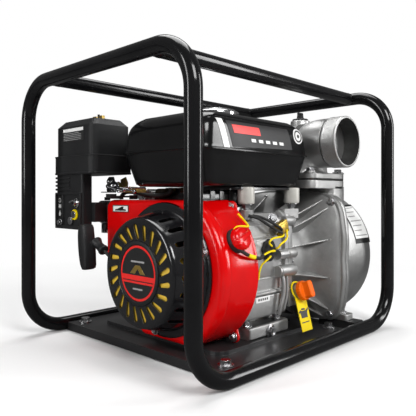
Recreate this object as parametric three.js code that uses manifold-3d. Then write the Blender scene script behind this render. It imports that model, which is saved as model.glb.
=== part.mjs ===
// Petrol-engine water pump in a tube frame. Millimetres, +Z up, X along the crankshaft:
// the hand starter is at -X, the pump at +X, the dipstick side at -Y, the cylinder head at +Y.
import * as THREE from 'three';
import { mergeVertices } from 'three/addons/utils/BufferGeometryUtils.js';
import Module from 'manifold-3d';

const wasm = await Module();
wasm.setup();

// ---- driving dimensions -------------------------------------------------------------------
const GAP = 0.3;                 // clearance between pieces that touch on the real machine
const TUBE_R = 11.1;             // frame tube, 22.2 mm outside diameter
const FRAME_HALF_L = 242.2;      // tube centre lines
const FRAME_HALF_W = 199;
const FRAME_TOP = 417.6;
const BEND_R = 62;
const RAIL_Y = 124;
const TRAY_TOP = 14;
const MOUNT_Z = 20;              // plane that the engine and the pump stand on
const CRANK_Y = -50;
const CRANK_Z = 127;

const CASE_X0 = -84;             // crankcase, starter side to pump side
const CASE_X1 = 30;
const COVER_X1 = 44;
const CYLINDER_TILT = THREE.MathUtils.degToRad(25);
const CYLINDER_X = -26;
const BORE_R = 34.2;
const STROKE = 54;
const DECK_R = 140;              // cylinder deck, measured from the crank axis
const HEAD_R1 = 180;
const SHAFT_R = 15;

const BLOWER_X0 = -158;          // fan cover, front face to rear edge
const BLOWER_X1 = -85;
const BLOWER_R = 116;
const STARTER_X0 = -207;         // hand starter front face
const STARTER_FACE_R = 77;
const STARTER_FLANGE_R = 97;
const ROPE_R = 2.5;
const ROPE_ANGLE = THREE.MathUtils.degToRad(27);

const TANK = { x0: -163, x1: 90, y0: -134, y1: 51, z0: 248, seam: 300, z1: 355 };
const AIR_BOX = { x0: -194, x1: -113, y0: 84, y1: 206, floor: 270, seam: 301, top: 361 };

const PUMP_Y = -6;               // casing centre from the crank axis
const FLANGE_X = 142;            // joint between the engine-side cover and the casing
const FLANGE_HALF = 118;
const CASING_X1 = 232;
const PORT_R = 44;               // 3 inch threaded ports, 88 mm outside
const PORT_BORE_R = 39.5;
const ELBOW = { x: 140, y: -36, base: 261, axisZ: 326, faceY: -127 };
const SUCTION_Z = 45;
const SEAL_SEAT_R = 22;          // shaft opening in the pump cover, closed by the seal

const TRAY_X0 = -176;
const TRAY_X1 = 118;
const TRAY_HALF_W = FRAME_HALF_W - TUBE_R - GAP;
const SHEET = 3;                 // pressed steel of the tray
const HEX_R = 7.5;               // hexagon bolt heads, 13 mm across flats

// Places below are measured from the crank axis.
const FOOT_Z0 = MOUNT_Z - CRANK_Z;
const FOOT_TOP = FOOT_Z0 + 18;
const FOOT_HOLE_Y = -68;
const CASE_OUTLINE = [[-78, 62], [-64, 80], [40, 80], [66, 60], [66, -92], [-54, -92], [-54, -78],
  [-78, -48]];
const CASE_BOSSES = [[-72, 66, 8], [-84, 15.5, 8], [-83.5, -11, 9]];      // y, z, radius
const EARS = [[-66, 90, 11], [-72, -97, 10]];                              // y, z, radius
const POST_Y = -68;              // tank posts
const POST_BOSS_TOP = 86;
const DIPSTICK_TILT = THREE.MathUtils.degToRad(160);      // points to -Y and a little up
const DIPSTICK_BASE = [50, -80, -52];
const TAG_LEAN = THREE.MathUtils.degToRad(64);
const PLUG_X = -60;
const PLUG_SIDE = 24;
const SWITCH_ANGLE = THREE.MathUtils.degToRad(156);
const SWITCH_X = -121;

const REEL_X0 = -198;
const REEL_X1 = -178;
const REEL_R = 64;
const REEL_GROOVE_R = 53;
const REEL_POST_R = 11.5;
const GRIP_CENTRE = [137, 27];
const GRIP_LEAN = THREE.MathUtils.degToRad(-7);
const ROPE_X = -190;
const ROPE_EXIT = [98, 18];
const ROPE_ROUTE = [[62.4, -0.2], ROPE_EXIT, [105, 21.6]];      // reel groove, guide, grip

// Places below are measured from the ground and the middle of the frame.
const CAP_X = -68;
const CAP_Y = -64;
const POSTS = [['tank_post_front', -56], ['tank_post_rear', 60]];
const CARB = { x0: -149, x1: -100, y: 124, z: 207 };
const AIR_MID = [(AIR_BOX.x0 + AIR_BOX.x1) / 2, (AIR_BOX.y0 + AIR_BOX.y1) / 2];
const STUD_X = AIR_MID[0] + 12;
const STUD_TOP = AIR_BOX.top + 14;
const MUFFLER = { x0: -4, x1: 104, y0: 62, y1: 166, z0: 262, z1: 330 };

// ---- solids -------------------------------------------------------------------------------
function closedMesh(geometry) {
  const bare = geometry.clone();
  bare.deleteAttribute('normal');
  bare.deleteAttribute('uv');
  const merged = mergeVertices(bare, 1e-3);
  const index = merged.index.array;
  const position = merged.attributes.position;
  const corners = [0, 1, 2].map(() => new THREE.Vector3());
  const kept = [];
  let volume = 0;
  for (let i = 0; i < index.length; i += 3) {
    const [a, b, c] = [index[i], index[i + 1], index[i + 2]];
    if (a === b || b === c || c === a) continue;
    kept.push(a, b, c);
    [a, b, c].forEach((vertex, k) => corners[k].fromBufferAttribute(position, vertex));
    volume += corners[0].dot(corners[1].clone().cross(corners[2]));
  }
  if (volume < 0) kept.reverse();
  return { numProp: 3, vertProperties: new Float32Array(position.array), triVerts: new Uint32Array(kept) };
}

function solid(geometry) {
  return new wasm.Manifold(new wasm.Mesh(closedMesh(geometry)));
}

function surface(manifold) {
  const mesh = manifold.getMesh();
  const geometry = new THREE.BufferGeometry();
  geometry.setAttribute('position', new THREE.BufferAttribute(mesh.vertProperties, 3));
  geometry.setIndex(new THREE.BufferAttribute(mesh.triVerts, 1));
  geometry.computeVertexNormals();
  return geometry;
}

function join(first, ...others) {
  return surface(others.reduce((sum, other) => sum.add(solid(other)), solid(first)));
}

function cut(first, ...others) {
  return surface(others.reduce((rest, other) => rest.subtract(solid(other)), solid(first)));
}

// ---- basic shapes -------------------------------------------------------------------------
function block(x0, x1, y0, y1, z0, z1) {
  const box = new THREE.BoxGeometry(x1 - x0, y1 - y0, z1 - z0);
  return box.translate((x0 + x1) / 2, (y0 + y1) / 2, (z0 + z1) / 2);
}

function rod(axis, radius, from, to, u = 0, v = 0, sides = 16) {
  const cylinder = new THREE.CylinderGeometry(radius, radius, to - from, sides);
  const middle = (from + to) / 2;
  if (axis === 'x') return cylinder.rotateZ(-Math.PI / 2).translate(middle, u, v);
  if (axis === 'y') return cylinder.translate(u, middle, v);
  return cylinder.rotateX(Math.PI / 2).translate(u, v, middle);
}

// Revolves [x, radius] points about the X axis; the outline closes on itself or on the axis.
function turned(points, segments = 40, y = 0, z = 0) {
  const outline = points.map(([x, radius]) => new THREE.Vector2(radius, x));
  const onAxis = outline[0].x === 0 && outline[outline.length - 1].x === 0;
  if (!onAxis) outline.push(outline[0].clone());
  return new THREE.LatheGeometry(outline, segments).rotateZ(-Math.PI / 2).translate(0, y, z);
}

// Revolves [radius, z] points about a vertical axis.
function turnedUpright(points, segments = 32, x = 0, y = 0) {
  const outline = points.map(([radius, z]) => new THREE.Vector2(radius, z));
  const onAxis = outline[0].x === 0 && outline[outline.length - 1].x === 0;
  if (!onAxis) outline.push(outline[0].clone());
  return new THREE.LatheGeometry(outline, segments).rotateX(Math.PI / 2).translate(x, y, 0);
}

const EXTRUDE = { bevelEnabled: false, curveSegments: 2 };

// Outline in Y-Z, pushed along X.
function slabX(shape, x0, x1, curveSegments = EXTRUDE.curveSegments) {
  const slab = new THREE.ExtrudeGeometry(shape, { ...EXTRUDE, depth: x1 - x0, curveSegments });
  return slab.rotateX(Math.PI / 2).rotateZ(Math.PI / 2).translate(x0, 0, 0);
}

// Outline in X-Y, pushed along Z.
function slabZ(shape, z0, z1, steps = 1) {
  const slab = new THREE.ExtrudeGeometry(shape, { ...EXTRUDE, depth: z1 - z0, steps });
  return slab.translate(0, 0, z0);
}

function polygon(points) {
  return new THREE.Shape(points.map(([u, v]) => new THREE.Vector2(u, v)));
}

function roundedRectangle(u0, u1, v0, v1, radius) {
  const shape = new THREE.Shape();
  shape.moveTo(u0 + radius, v0);
  shape.lineTo(u1 - radius, v0);
  shape.absarc(u1 - radius, v0 + radius, radius, -Math.PI / 2, 0);
  shape.lineTo(u1, v1 - radius);
  shape.absarc(u1 - radius, v1 - radius, radius, 0, Math.PI / 2);
  shape.lineTo(u0 + radius, v1);
  shape.absarc(u0 + radius, v1 - radius, radius, Math.PI / 2, Math.PI);
  shape.lineTo(u0, v0 + radius);
  shape.absarc(u0 + radius, v0 + radius, radius, Math.PI, Math.PI * 1.5);
  return shape;
}

// A curve through hand-placed stations, so that straight runs take one step.
class Stations extends THREE.Curve {
  constructor(points) {
    super();
    this.points = points;
  }

  getPoint(t, target = new THREE.Vector3()) {
    const place = t * (this.points.length - 1);
    const index = Math.min(Math.floor(place), this.points.length - 2);
    return target.copy(this.points[index]).lerp(this.points[index + 1], place - index);
  }

  getPointAt(u, target) {
    return this.getPoint(u, target);
  }

  getTangentAt(u, target = new THREE.Vector3()) {
    const last = this.points.length - 1;
    const index = Math.round(u * last);
    const before = this.points[Math.max(index - 1, 0)];
    const after = this.points[Math.min(index + 1, last)];
    const here = this.points[index];
    const incoming = here.clone().sub(before).normalize();
    const outgoing = after.clone().sub(here).normalize();
    return target.copy(incoming).add(outgoing).normalize();
  }
}

function tubeThrough(points, radius, sides) {
  const section = new THREE.Shape();
  for (let i = 0; i < sides; i += 1) {
    const angle = (2 * Math.PI * i) / sides;
    const [u, v] = [radius * Math.cos(angle), radius * Math.sin(angle)];
    if (i === 0) section.moveTo(u, v);
    else section.lineTo(u, v);
  }
  const path = new Stations(points);
  return new THREE.ExtrudeGeometry(section, { ...EXTRUDE, steps: points.length - 1, extrudePath: path });
}

function smoothPoints(points, count) {
  const curve = new THREE.CatmullRomCurve3(points.map((point) => new THREE.Vector3(...point)));
  return curve.getSpacedPoints(count);
}

// Quarter bend from direction `from` into direction `to`, in equal angular steps.
function bend(corner, from, to, radius, steps = 5) {
  const start = corner.clone().addScaledVector(from, -radius);
  const centre = start.clone().addScaledVector(to, radius);
  const points = [];
  for (let i = 0; i <= steps; i += 1) {
    const angle = (Math.PI / 2) * (i / steps);
    const point = centre.clone();
    point.addScaledVector(to, -radius * Math.cos(angle));
    point.addScaledVector(from, radius * Math.sin(angle));
    points.push(point);
  }
  return points;
}

// Scales an upright solid about (cx, cy) by a factor that depends on height.
function tapered(geometry, cx, cy, factorAt) {
  const position = geometry.attributes.position;
  for (let i = 0; i < position.count; i += 1) {
    const [fx, fy] = factorAt(position.getZ(i));
    position.setX(i, cx + (position.getX(i) - cx) * fx);
    position.setY(i, cy + (position.getY(i) - cy) * fy);
  }
  return geometry;
}

function around(count, make) {
  return Array.from({ length: count }, (_, i) => make((2 * Math.PI * i) / count, i));
}

// ---- finishes -----------------------------------------------------------------------------
function finish(color, roughness, metalness) {
  return () => new THREE.MeshStandardMaterial({ color, roughness, metalness });
}

const gloss_black = finish(0x0b0b0c, 0.22, 0.3);
const red_paint = finish(0xd90a0a, 0.2, 0.1);
const black_plastic = finish(0x26282a, 0.5, 0);
const cast_aluminium = finish(0x9c9d9b, 0.5, 0.8);
const machined = finish(0xc4c5c4, 0.3, 0.95);
const zinc_yellow = finish(0xb08a2c, 0.35, 0.8);
const chrome = finish(0xdcdcdc, 0.12, 1);
const rubber = finish(0x141414, 0.8, 0);
const orange_plastic = finish(0xff7800, 0.35, 0);
const yellow_plastic = finish(0xffe600, 0.45, 0);
const foam = finish(0x55544c, 0.95, 0);
const cast_iron = finish(0x5a5a58, 0.6, 0.7);

const model = new THREE.Group();
const crankGroup = new THREE.Group();      // everything that is laid out from the crank axis
crankGroup.position.set(0, CRANK_Y, CRANK_Z);
model.add(crankGroup);

function piece(parent, name, geometry, material) {
  const clean = surface(solid(geometry));
  const mesh = new THREE.Mesh(clean, material());
  mesh.name = name;
  parent.add(mesh);
  return mesh;
}

// ---- tube frame ---------------------------------------------------------------------------
function addFrameHalf(name, side) {
  const along = new THREE.Vector3(side, 0, 0);
  const up = new THREE.Vector3(0, 0, 1);
  const down = new THREE.Vector3(0, 0, -1);
  const left = new THREE.Vector3(0, 1, 0);
  const back = new THREE.Vector3(-side, 0, 0);
  const x = side * FRAME_HALF_L;
  const corner = (y, z) => new THREE.Vector3(x, y, z);
  const points = [
    new THREE.Vector3(side * GAP / 2, -FRAME_HALF_W, TUBE_R),
    ...bend(corner(-FRAME_HALF_W, TUBE_R), along, up, BEND_R),
    ...bend(corner(-FRAME_HALF_W, FRAME_TOP), up, left, BEND_R),
    ...bend(corner(FRAME_HALF_W, FRAME_TOP), left, down, BEND_R),
    ...bend(corner(FRAME_HALF_W, TUBE_R), down, back, BEND_R),
    new THREE.Vector3(side * GAP / 2, FRAME_HALF_W, TUBE_R),
  ];
  piece(model, name, tubeThrough(points, TUBE_R, 12), gloss_black);
}

function addFrame() {
  addFrameHalf('frame_front_hoop', -1);
  addFrameHalf('frame_rear_hoop', 1);
  const railEnd = FRAME_HALF_L - TUBE_R - GAP;
  for (const [name, y] of [['top_rail_left', RAIL_Y], ['top_rail_right', -RAIL_Y]]) {
    piece(model, name, rod('x', TUBE_R, -railEnd, railEnd, y, FRAME_TOP, 16), gloss_black);
  }
}

function addBase() {
  const top = block(TRAY_X0, TRAY_X1, -TRAY_HALF_W, TRAY_HALF_W, TRAY_TOP - SHEET, TRAY_TOP);
  const front = block(TRAY_X0, TRAY_X0 + SHEET, -TRAY_HALF_W, TRAY_HALF_W, 1, TRAY_TOP);
  const rear = block(TRAY_X1 - SHEET, TRAY_X1, -TRAY_HALF_W, TRAY_HALF_W, 1, TRAY_TOP);
  const raised = slabZ(roundedRectangle(-136, 100, -140, 140, 18), TRAY_TOP - 1, MOUNT_Z - GAP);
  const window = slabZ(roundedRectangle(-112, -74, -100, 100, 10), 0, MOUNT_Z + 1);
  const slot = slabZ(roundedRectangle(44, 88, -100, 100, 10), 0, MOUNT_Z + 1);
  const underside = slabZ(roundedRectangle(-133, 97, -137, 137, 15), 0, MOUNT_Z - GAP - SHEET);
  const tray = join(cut(join(top, raised), underside, window, slot), front, rear);
  piece(model, 'base_tray', tray, gloss_black);

  const padTop = MOUNT_Z - GAP;
  const nearPad = block(143, 172, -TRAY_HALF_W, -118, 2, padTop);
  const farPad = block(143, 172, 6, TRAY_HALF_W, 2, padTop);
  const strap = block(143, 172, -TRAY_HALF_W, TRAY_HALF_W, 2, 6);
  piece(model, 'pump_crossmember', join(strap, nearPad, farPad), gloss_black);

  const boltPlaces = [[-154, -167], [-154, 167], [106, -160], [106, 160]];
  boltPlaces.forEach(([x, y], i) => {
    const washer = rod('z', 11, TRAY_TOP + GAP, TRAY_TOP + GAP + 1.6, x, y, 20);
    const head = rod('z', HEX_R, TRAY_TOP + GAP + 1, TRAY_TOP + GAP + 7.5, x, y, 6);
    piece(model, `base_bolt_${i + 1}`, join(washer, head), machined);
  });
}

// ---- engine block -------------------------------------------------------------------------
function tilted(geometry) {
  return geometry.rotateX(CYLINDER_TILT);
}

function addCrankcase() {
  const body = slabX(polygon(CASE_OUTLINE), CASE_X0, CASE_X1);
  const foot = slabX(roundedRectangle(-82, 118, FOOT_Z0, FOOT_TOP, 4), -64, CASE_X1);
  const skirt = slabX(roundedRectangle(-50, 84, FOOT_Z0 + 6, -40, 10), -72, CASE_X1);
  const barrel = tilted(rod('y', 47, 50, DECK_R, CYLINDER_X, 0, 20));
  const fins = Array.from({ length: 3 }, (_, i) => {
    const from = 90 + i * 14;
    return tilted(block(CYLINDER_X - 54, CYLINDER_X + 54, from, from + 3, -50, 50));
  });
  const deck = tilted(block(CYLINDER_X - 52, CYLINDER_X + 52, DECK_R - 8, DECK_R, -48, 48));
  const bosses = CASE_BOSSES.map(([y, z, r]) => rod('x', r, 0, CASE_X1, y, z, 12));
  const ledge = block(-60, 24, -82, -70, -44, -38);
  const postBoss = rod('z', 11, 72, POST_BOSS_TOP, POSTS[0][1], POST_Y, 12);
  const solidBody = join(body, foot, skirt, barrel, deck, ...fins, ...bosses, ledge, postBoss);

  const chamber = rod('x', 64, CASE_X0 + 10, CASE_X1 + 1, 0, -6, 24);
  const sump = block(CASE_X0 + 10, CASE_X1 + 1, -46, 58, -84, -40);
  const bore = tilted(rod('y', BORE_R, 30, DECK_R + 1, CYLINDER_X, 0, 24));
  const bearing = rod('x', SHAFT_R + GAP, CASE_X0 - 1, CASE_X0 + 11, 0, 0, 20);
  piece(crankGroup, 'crankcase', cut(solidBody, chamber, sump, bore, bearing), cast_aluminium);

  [-56, 18].forEach((x, i) => {
    const bolt = rod('z', HEX_R, FOOT_TOP + GAP, FOOT_TOP + GAP + 7, x, FOOT_HOLE_Y, 6);
    piece(crankGroup, `engine_bolt_${i + 1}`, bolt, machined);
  });
}

function addCrankcaseCover() {
  const plate = slabX(roundedRectangle(-80, 64, -80, 76, 20), CASE_X1 + GAP, COVER_X1);
  const bracket = block(CASE_X1 + GAP, 68, POST_Y - 8, POST_Y + 8, 70, POST_BOSS_TOP);
  const neckRoot = block(CASE_X1 + GAP, 62, -84, -74, -70, -42);
  const neck = rod('y', 13, -10, 16, 0, 0, 24).rotateX(DIPSTICK_TILT).translate(...DIPSTICK_BASE);
  const neckBore = rod('y', 6, -17, 17, 0, 0, 16).rotateX(DIPSTICK_TILT).translate(...DIPSTICK_BASE);
  const bearing = rod('x', SHAFT_R + GAP, CASE_X1 - 1, COVER_X1 + 1);
  const cover = cut(join(plate, bracket, neckRoot, neck), neckBore, bearing);
  piece(crankGroup, 'crankcase_cover', cover, cast_aluminium);
}

function addDipstick() {
  const place = (geometry) => geometry.rotateX(DIPSTICK_TILT).translate(...DIPSTICK_BASE);
  const stick = place(rod('y', 2.5, -12, 18, 0, 0, 10));
  const cap = place(rod('y', 14.5, 16 + GAP, 30, 0, 0, 20));
  const grips = around(6, (angle) => {
    const rib = rod('y', 2.2, 16 + GAP, 30, 14 * Math.cos(angle), 14 * Math.sin(angle), 8);
    return place(rib);
  });
  piece(crankGroup, 'dipstick', join(stick, cap, ...grips), orange_plastic);

  // A flat strap that hangs from a ring round the filler neck.
  const strap = new THREE.ExtrudeGeometry(polygon([[-29, 0], [1, 0], [15, 58], [-15, 58]]),
    { ...EXTRUDE, depth: 1 });
  const ring = rod('z', 17, 0, 1, 0, 62, 20);
  const ringHole = rod('z', 13.8, -1, 2, 0, 62, 20);
  const tag = cut(join(strap, ring), ringHole).rotateX(TAG_LEAN);
  tag.translate(DIPSTICK_BASE[0], -116, -104);
  piece(crankGroup, 'oil_tag', tag, yellow_plastic);
}

function addHead() {
  const x0 = CYLINDER_X - 54;
  const x1 = CYLINDER_X + 54;
  const core = tilted(block(x0 + 6, x1 - 6, DECK_R + GAP, HEAD_R1, -44, 44));
  const fins = Array.from({ length: 4 }, (_, i) => {
    const from = DECK_R + 4 + i * 9.5;
    return tilted(block(x0, x1, from, from + 3, -50, 50));
  });
  const intake = block(-99.7, x0 + 10, 154, 190, 62, 98);
  const exhaust = block(x1 - 10, x1 + 26, 134, 158, 52, 80);
  const riser = block(x1 + 2, x1 + 26, 134, 158, 78, MUFFLER.z0 - CRANK_Z - GAP);
  const plugHole = tilted(rod('y', 8.3, 164, HEAD_R1 + 1, PLUG_X, PLUG_SIDE, 20));
  const head = cut(join(core, ...fins, intake, exhaust, riser), plugHole);
  piece(crankGroup, 'cylinder_head', head, cast_aluminium);

  const cover = roundedRectangle(-42, 26, -36, 40, 10);
  const dome = slabZ(cover, 0, 26, 3);
  tapered(dome, -8, 2, (z) => (z > 20 ? [0.92, 0.92] : [1, 1]));
  const lid = tilted(dome.rotateX(-Math.PI / 2).translate(0, HEAD_R1 + GAP, 0));
  piece(crankGroup, 'valve_cover', lid, gloss_black);

  const shell = tilted(rod('y', 8, 165, 186, PLUG_X, PLUG_SIDE, 20));
  const hex = tilted(rod('y', 10, HEAD_R1 + 1, 192, PLUG_X, PLUG_SIDE, 6));
  const boot = tilted(rod('y', 11, 192, 222, PLUG_X, PLUG_SIDE, 16));
  const lead = tilted(rod('z', 5, 20, 44, PLUG_X, 212, 12));
  piece(crankGroup, 'spark_plug', join(shell, hex, boot, lead), rubber);
}

// ---- rotating parts -----------------------------------------------------------------------
function addCrankTrain() {
  const web = (x0, x1) => rod('x', 42, x0, x1, 0, 0, 20);
  const shaft = turned([[-152, 0], [-152, 9], [-140, 9], [-140, 14], [-96, SHAFT_R], [44, SHAFT_R],
    [44, 12], [164, 12], [164, 0]], 20);
  const pin = rod('x', 15, -45, -7, 0, -STROKE / 2 + 1, 16);
  piece(crankGroup, 'crankshaft', join(shaft, web(-62, -45), web(-7, 10), pin), machined);

  const wheel = turned([[-130, SHAFT_R + GAP], [-130, 92], [-92, 92], [-92, 78], [-112, 74],
    [-112, 34], [-96, 30], [-96, SHAFT_R + GAP]], 28);
  piece(crankGroup, 'flywheel', wheel, cast_iron);

  const back = turned([[-134, 24], [-134, 96], [-130.3, 96], [-130.3, 24]], 24);
  const blades = around(14, (angle) =>
    block(-151, -133, -1.5, 1.5, 58, 95).rotateX(angle));
  piece(crankGroup, 'cooling_fan', join(back, ...blades), black_plastic);

  const cup = turned([[-171, 38], [-171, 46], [-152.6, 46], [-152.6, 0], [-156, 0], [-156, 42],
    [-168, 42], [-168, 38]].reverse(), 20);
  piece(crankGroup, 'starter_cup', cup, zinc_yellow);
}

function addPiston() {
  const top = DECK_R - 2 - STROKE;           // bottom of the stroke
  const length = 40;
  const crown = rod('y', BORE_R - GAP, top - length, top, CYLINDER_X, 0, 24);
  const hollow = rod('y', BORE_R - 5, top - length - 1, top - 8, CYLINDER_X, 0, 16);
  piece(crankGroup, 'piston', tilted(cut(crown, hollow)), machined);
}

// ---- hand starter -------------------------------------------------------------------------
function starterSlots() {
  const slots = around(18, (angle) => {
    const slot = block(STARTER_X0 - 2, STARTER_X0 + 6, -3.1, 3.1, 47, 68);
    return slot.translate(0, 9, 0).rotateX(angle);
  });
  const side = around(12, (angle) => block(-194, -168, -4, 4, 60, 96).rotateX(angle + 0.1));
  return [...slots, ...side];
}

function addStarter() {
  const shell = turned([[STARTER_X0, 0], [STARTER_X0, STARTER_FACE_R - 5], [STARTER_X0 + 5, STARTER_FACE_R],
    [-190, 81], [-162, 86], [-161.4, STARTER_FLANGE_R], [BLOWER_X0 - GAP, STARTER_FLANGE_R],
    [BLOWER_X0 - GAP, 83], [-190, 78], [STARTER_X0 + 6, 73], [STARTER_X0 + 3, 70],
    [STARTER_X0 + 3, 0]], 32);
  const post = rod('x', REEL_POST_R, STARTER_X0 + 2, REEL_X1 + 2);
  const guide = rod('y', 10, -24, 0, 0, 0, 12).rotateX(ROPE_ANGLE).translate(ROPE_X, ...ROPE_EXIT);
  const guideBore = rod('y', ROPE_R + 1.5, -40, 2, 0, 0, 8).rotateX(ROPE_ANGLE)
    .translate(ROPE_X, ...ROPE_EXIT);
  const room = rod('x', 72, STARTER_X0 + 3, BLOWER_X0 + 2, 0, 0, 32);
  const roomOpen = cut(room, rod('x', REEL_POST_R, -210, REEL_X1 + 2));
  const body = cut(join(shell, post, guide), roomOpen, guideBore, ...starterSlots());
  piece(crankGroup, 'recoil_housing', body, black_plastic);

  const reel = turned([[REEL_X0, REEL_POST_R + GAP], [REEL_X0, REEL_R], [-194, REEL_R], [-193, REEL_GROOVE_R],
    [-187, REEL_GROOVE_R], [-186, REEL_R], [REEL_X1, REEL_R], [REEL_X1, REEL_POST_R + GAP]], 24);
  piece(crankGroup, 'recoil_reel', reel, zinc_yellow);

  const stops = ROPE_ROUTE.map(([y, z]) => new THREE.Vector3(ROPE_X, y, z));
  piece(crankGroup, 'recoil_rope', tubeThrough(stops, ROPE_R, 8), rubber);

  const stem = rod('y', 8, 8.6, 36, 0, 0, 16).rotateX(ROPE_ANGLE).translate(ROPE_X, ...ROPE_EXIT);
  const bar = slabX(roundedRectangle(-10, 10, -35, 35, 9), -211, -190.5);
  bar.rotateX(GRIP_LEAN).translate(0, ...GRIP_CENTRE);
  piece(crankGroup, 'starter_handle', join(bar, stem), black_plastic);
}

// ---- fan cover ----------------------------------------------------------------------------
function blowerOutline(inset) {
  const top = 101 - inset;
  const bottom = -104 + inset;
  const left = 150 - inset;
  const radius = BLOWER_R - inset;
  const topAngle = Math.PI - Math.asin(top / radius);
  const bottomAngle = Math.PI + Math.asin(-bottom / radius);
  const riseAngle = Math.PI * 1.8;
  const shape = new THREE.Shape();
  shape.moveTo(left - 14, top);
  shape.absarc(0, 0, radius, topAngle, bottomAngle, false);
  shape.absarc(0, 0, radius, 3 * Math.PI - bottomAngle, riseAngle, false);
  shape.lineTo(left, 6);
  shape.lineTo(left, top - 14);
  shape.absarc(left - 14, top - 14, 14, 0, Math.PI / 2);
  return shape;
}

function addBlower() {
  const outer = slabX(blowerOutline(0), BLOWER_X0, BLOWER_X1, 9);
  const ears = EARS.map(([y, z, r]) => rod('x', r, BLOWER_X1 - 4, BLOWER_X1, y, z, 16));
  const inner = slabX(blowerOutline(2.2), BLOWER_X0 + 2.2, BLOWER_X1 + 1, 9);
  const mouth = rod('x', 82, BLOWER_X0 - 1, BLOWER_X0 + 3, 0, 0, 32);
  piece(crankGroup, 'fan_cover', cut(join(outer, ...ears), inner, mouth), red_paint);

  const onCover = (geometry) =>
    geometry.rotateX(SWITCH_ANGLE - Math.PI / 2).translate(SWITCH_X, 0, 0);
  const base = onCover(rod('z', 16, BLOWER_R + GAP, BLOWER_R + 6, 0, 0, 24));
  piece(crankGroup, 'switch_base', base, black_plastic);
  const knob = onCover(turnedUpright([[0, BLOWER_R + 6.3], [14.5, BLOWER_R + 6.3], [13.2, BLOWER_R + 17],
    [0, BLOWER_R + 17]], 28));
  const bar = onCover(block(-13, 13, -3.5, 3.5, BLOWER_R + 15, BLOWER_R + 22));
  piece(crankGroup, 'stop_switch', join(knob, bar), red_paint);
}

// ---- fuel system --------------------------------------------------------------------------
function tankFactor(z, inset) {
  const half = [(TANK.x1 - TANK.x0) / 2, (TANK.y1 - TANK.y0) / 2];
  const low = Math.max(0, (TANK.seam - z) / (TANK.seam - TANK.z0));
  const high = Math.max(0, (z - TANK.seam) / (TANK.z1 - TANK.seam));
  const draw = [16 * low + 5 * high + 16 * high ** 6, 9 * low + 4 * high + 14 * high ** 6];
  return half.map((h, i) => (h - draw[i] - inset) / h);
}

function tankBody(inset, from, to) {
  const outline = roundedRectangle(TANK.x0, TANK.x1, TANK.y0, TANK.y1, 19);
  const body = slabZ(outline, from, to, 6);
  const [cx, cy] = [(TANK.x0 + TANK.x1) / 2, (TANK.y0 + TANK.y1) / 2];
  return tapered(body, cx, cy, (z) => tankFactor(z, inset));
}

function addTank() {
  const outer = tankBody(0, TANK.z0, TANK.z1);
  const seamOutline = roundedRectangle(TANK.x0 - 2, TANK.x1 + 2, TANK.y0 - 2, TANK.y1 + 2, 21);
  const seam = slabZ(seamOutline, TANK.seam - 1.5, TANK.seam + 1.5);
  const neck = rod('z', 24, TANK.z1 - 3, TANK.z1 + 4, CAP_X, CAP_Y, 20);
  const neckHole = rod('z', 20, TANK.z1 - 10, TANK.z1 + 5, CAP_X, CAP_Y, 20);
  const inner = tankBody(2, TANK.z0 + 2, TANK.z1 - 2);
  piece(model, 'fuel_tank', cut(join(outer, seam, neck), inner, neckHole), gloss_black);

  const lid = turnedUpright([[0, TANK.z1 + 4.3], [25, TANK.z1 + 4.3], [25, TANK.z1 + 0.6],
    [38, TANK.z1 + 0.6], [38, TANK.z1 + 8], [32, TANK.z1 + 12], [14, TANK.z1 + 14],
    [0, TANK.z1 + 14.5]], 28, CAP_X, CAP_Y);
  piece(model, 'fuel_cap', lid, chrome);

  for (const [name, x] of POSTS) {
    const z0 = CRANK_Z + POST_BOSS_TOP + GAP;
    const z1 = TANK.z0 - GAP;
    const post = turnedUpright([[0, z0], [7, z0], [7, z0 + 6], [11, z0 + 7], [12.8, z0 + 9],
      [12.8, z1], [0, z1]], 24, x, CRANK_Y + POST_Y);
    piece(model, name, post, chrome);
  }

  const route = [[-92, 12, 247.4], [-92, 13, 240], [-94, 30, 235], [-97, 66, 235], [-98, 100, 240],
    [-104, 118, 240], [-110, 122, 233], [-110, 122, 228]];
  piece(model, 'fuel_hose', tubeThrough(smoothPoints(route, 16), 3.6, 8), rubber);
}

function addCarburetor() {
  const throat = rod('x', 19, CARB.x0, CARB.x1, CARB.y, CARB.z, 28);
  const flange = block(CARB.x1 - 6, CARB.x1, CARB.y - 22, CARB.y + 22, CARB.z - 17, CARB.z + 17);
  const bowl = rod('z', 20, CARB.z - 36, CARB.z - 10, -126, CARB.y, 28);
  const nut = rod('z', 6, CARB.z - 42, CARB.z - 35, -126, CARB.y, 6);
  const nipple = rod('z', 4, CARB.z + 14, CARB.z + 20, -110, CARB.y - 2, 12);
  const valveSeat = rod('x', 7, CARB.x0 + 1, -128, CARB.y - 13, CARB.z - 24, 14);
  const bore = rod('x', 11, CARB.x0 - 1, CARB.x1 + 1, CARB.y, CARB.z, 24);
  const body = cut(join(throat, flange, bowl, nut, nipple, valveSeat), bore);
  piece(model, 'carburetor', body, cast_aluminium);

  const chokeHub = rod('z', 5, CARB.z + 19.5, CARB.z + 25, -138, CARB.y, 14);
  const chokeArm = block(-141, -135, CARB.y - 36, CARB.y, CARB.z + 22, CARB.z + 24.5);
  piece(model, 'choke_lever', join(chokeHub, chokeArm), black_plastic);

  const valveHub = rod('x', 6, CARB.x0 - 5, CARB.x0 + 0.6, CARB.y - 13, CARB.z - 24, 14);
  const valveArm = block(CARB.x0 - 5, CARB.x0 - 1, CARB.y - 16, CARB.y - 10, CARB.z - 34, CARB.z - 24);
  piece(model, 'fuel_valve', join(valveHub, valveArm), black_plastic);

  const pivotZ = CRANK_Z + 101 + GAP;
  const throttleHub = rod('z', 7, pivotZ, pivotZ + 7, -122, 72, 16);
  const throttleArm = block(-166, -122, 69, 75, pivotZ + 3, pivotZ + 6);
  const throttleTip = block(-172, -160, 66, 78, pivotZ + 2, pivotZ + 9);
  piece(model, 'throttle_lever', join(throttleHub, throttleArm, throttleTip), black_plastic);
}

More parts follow.
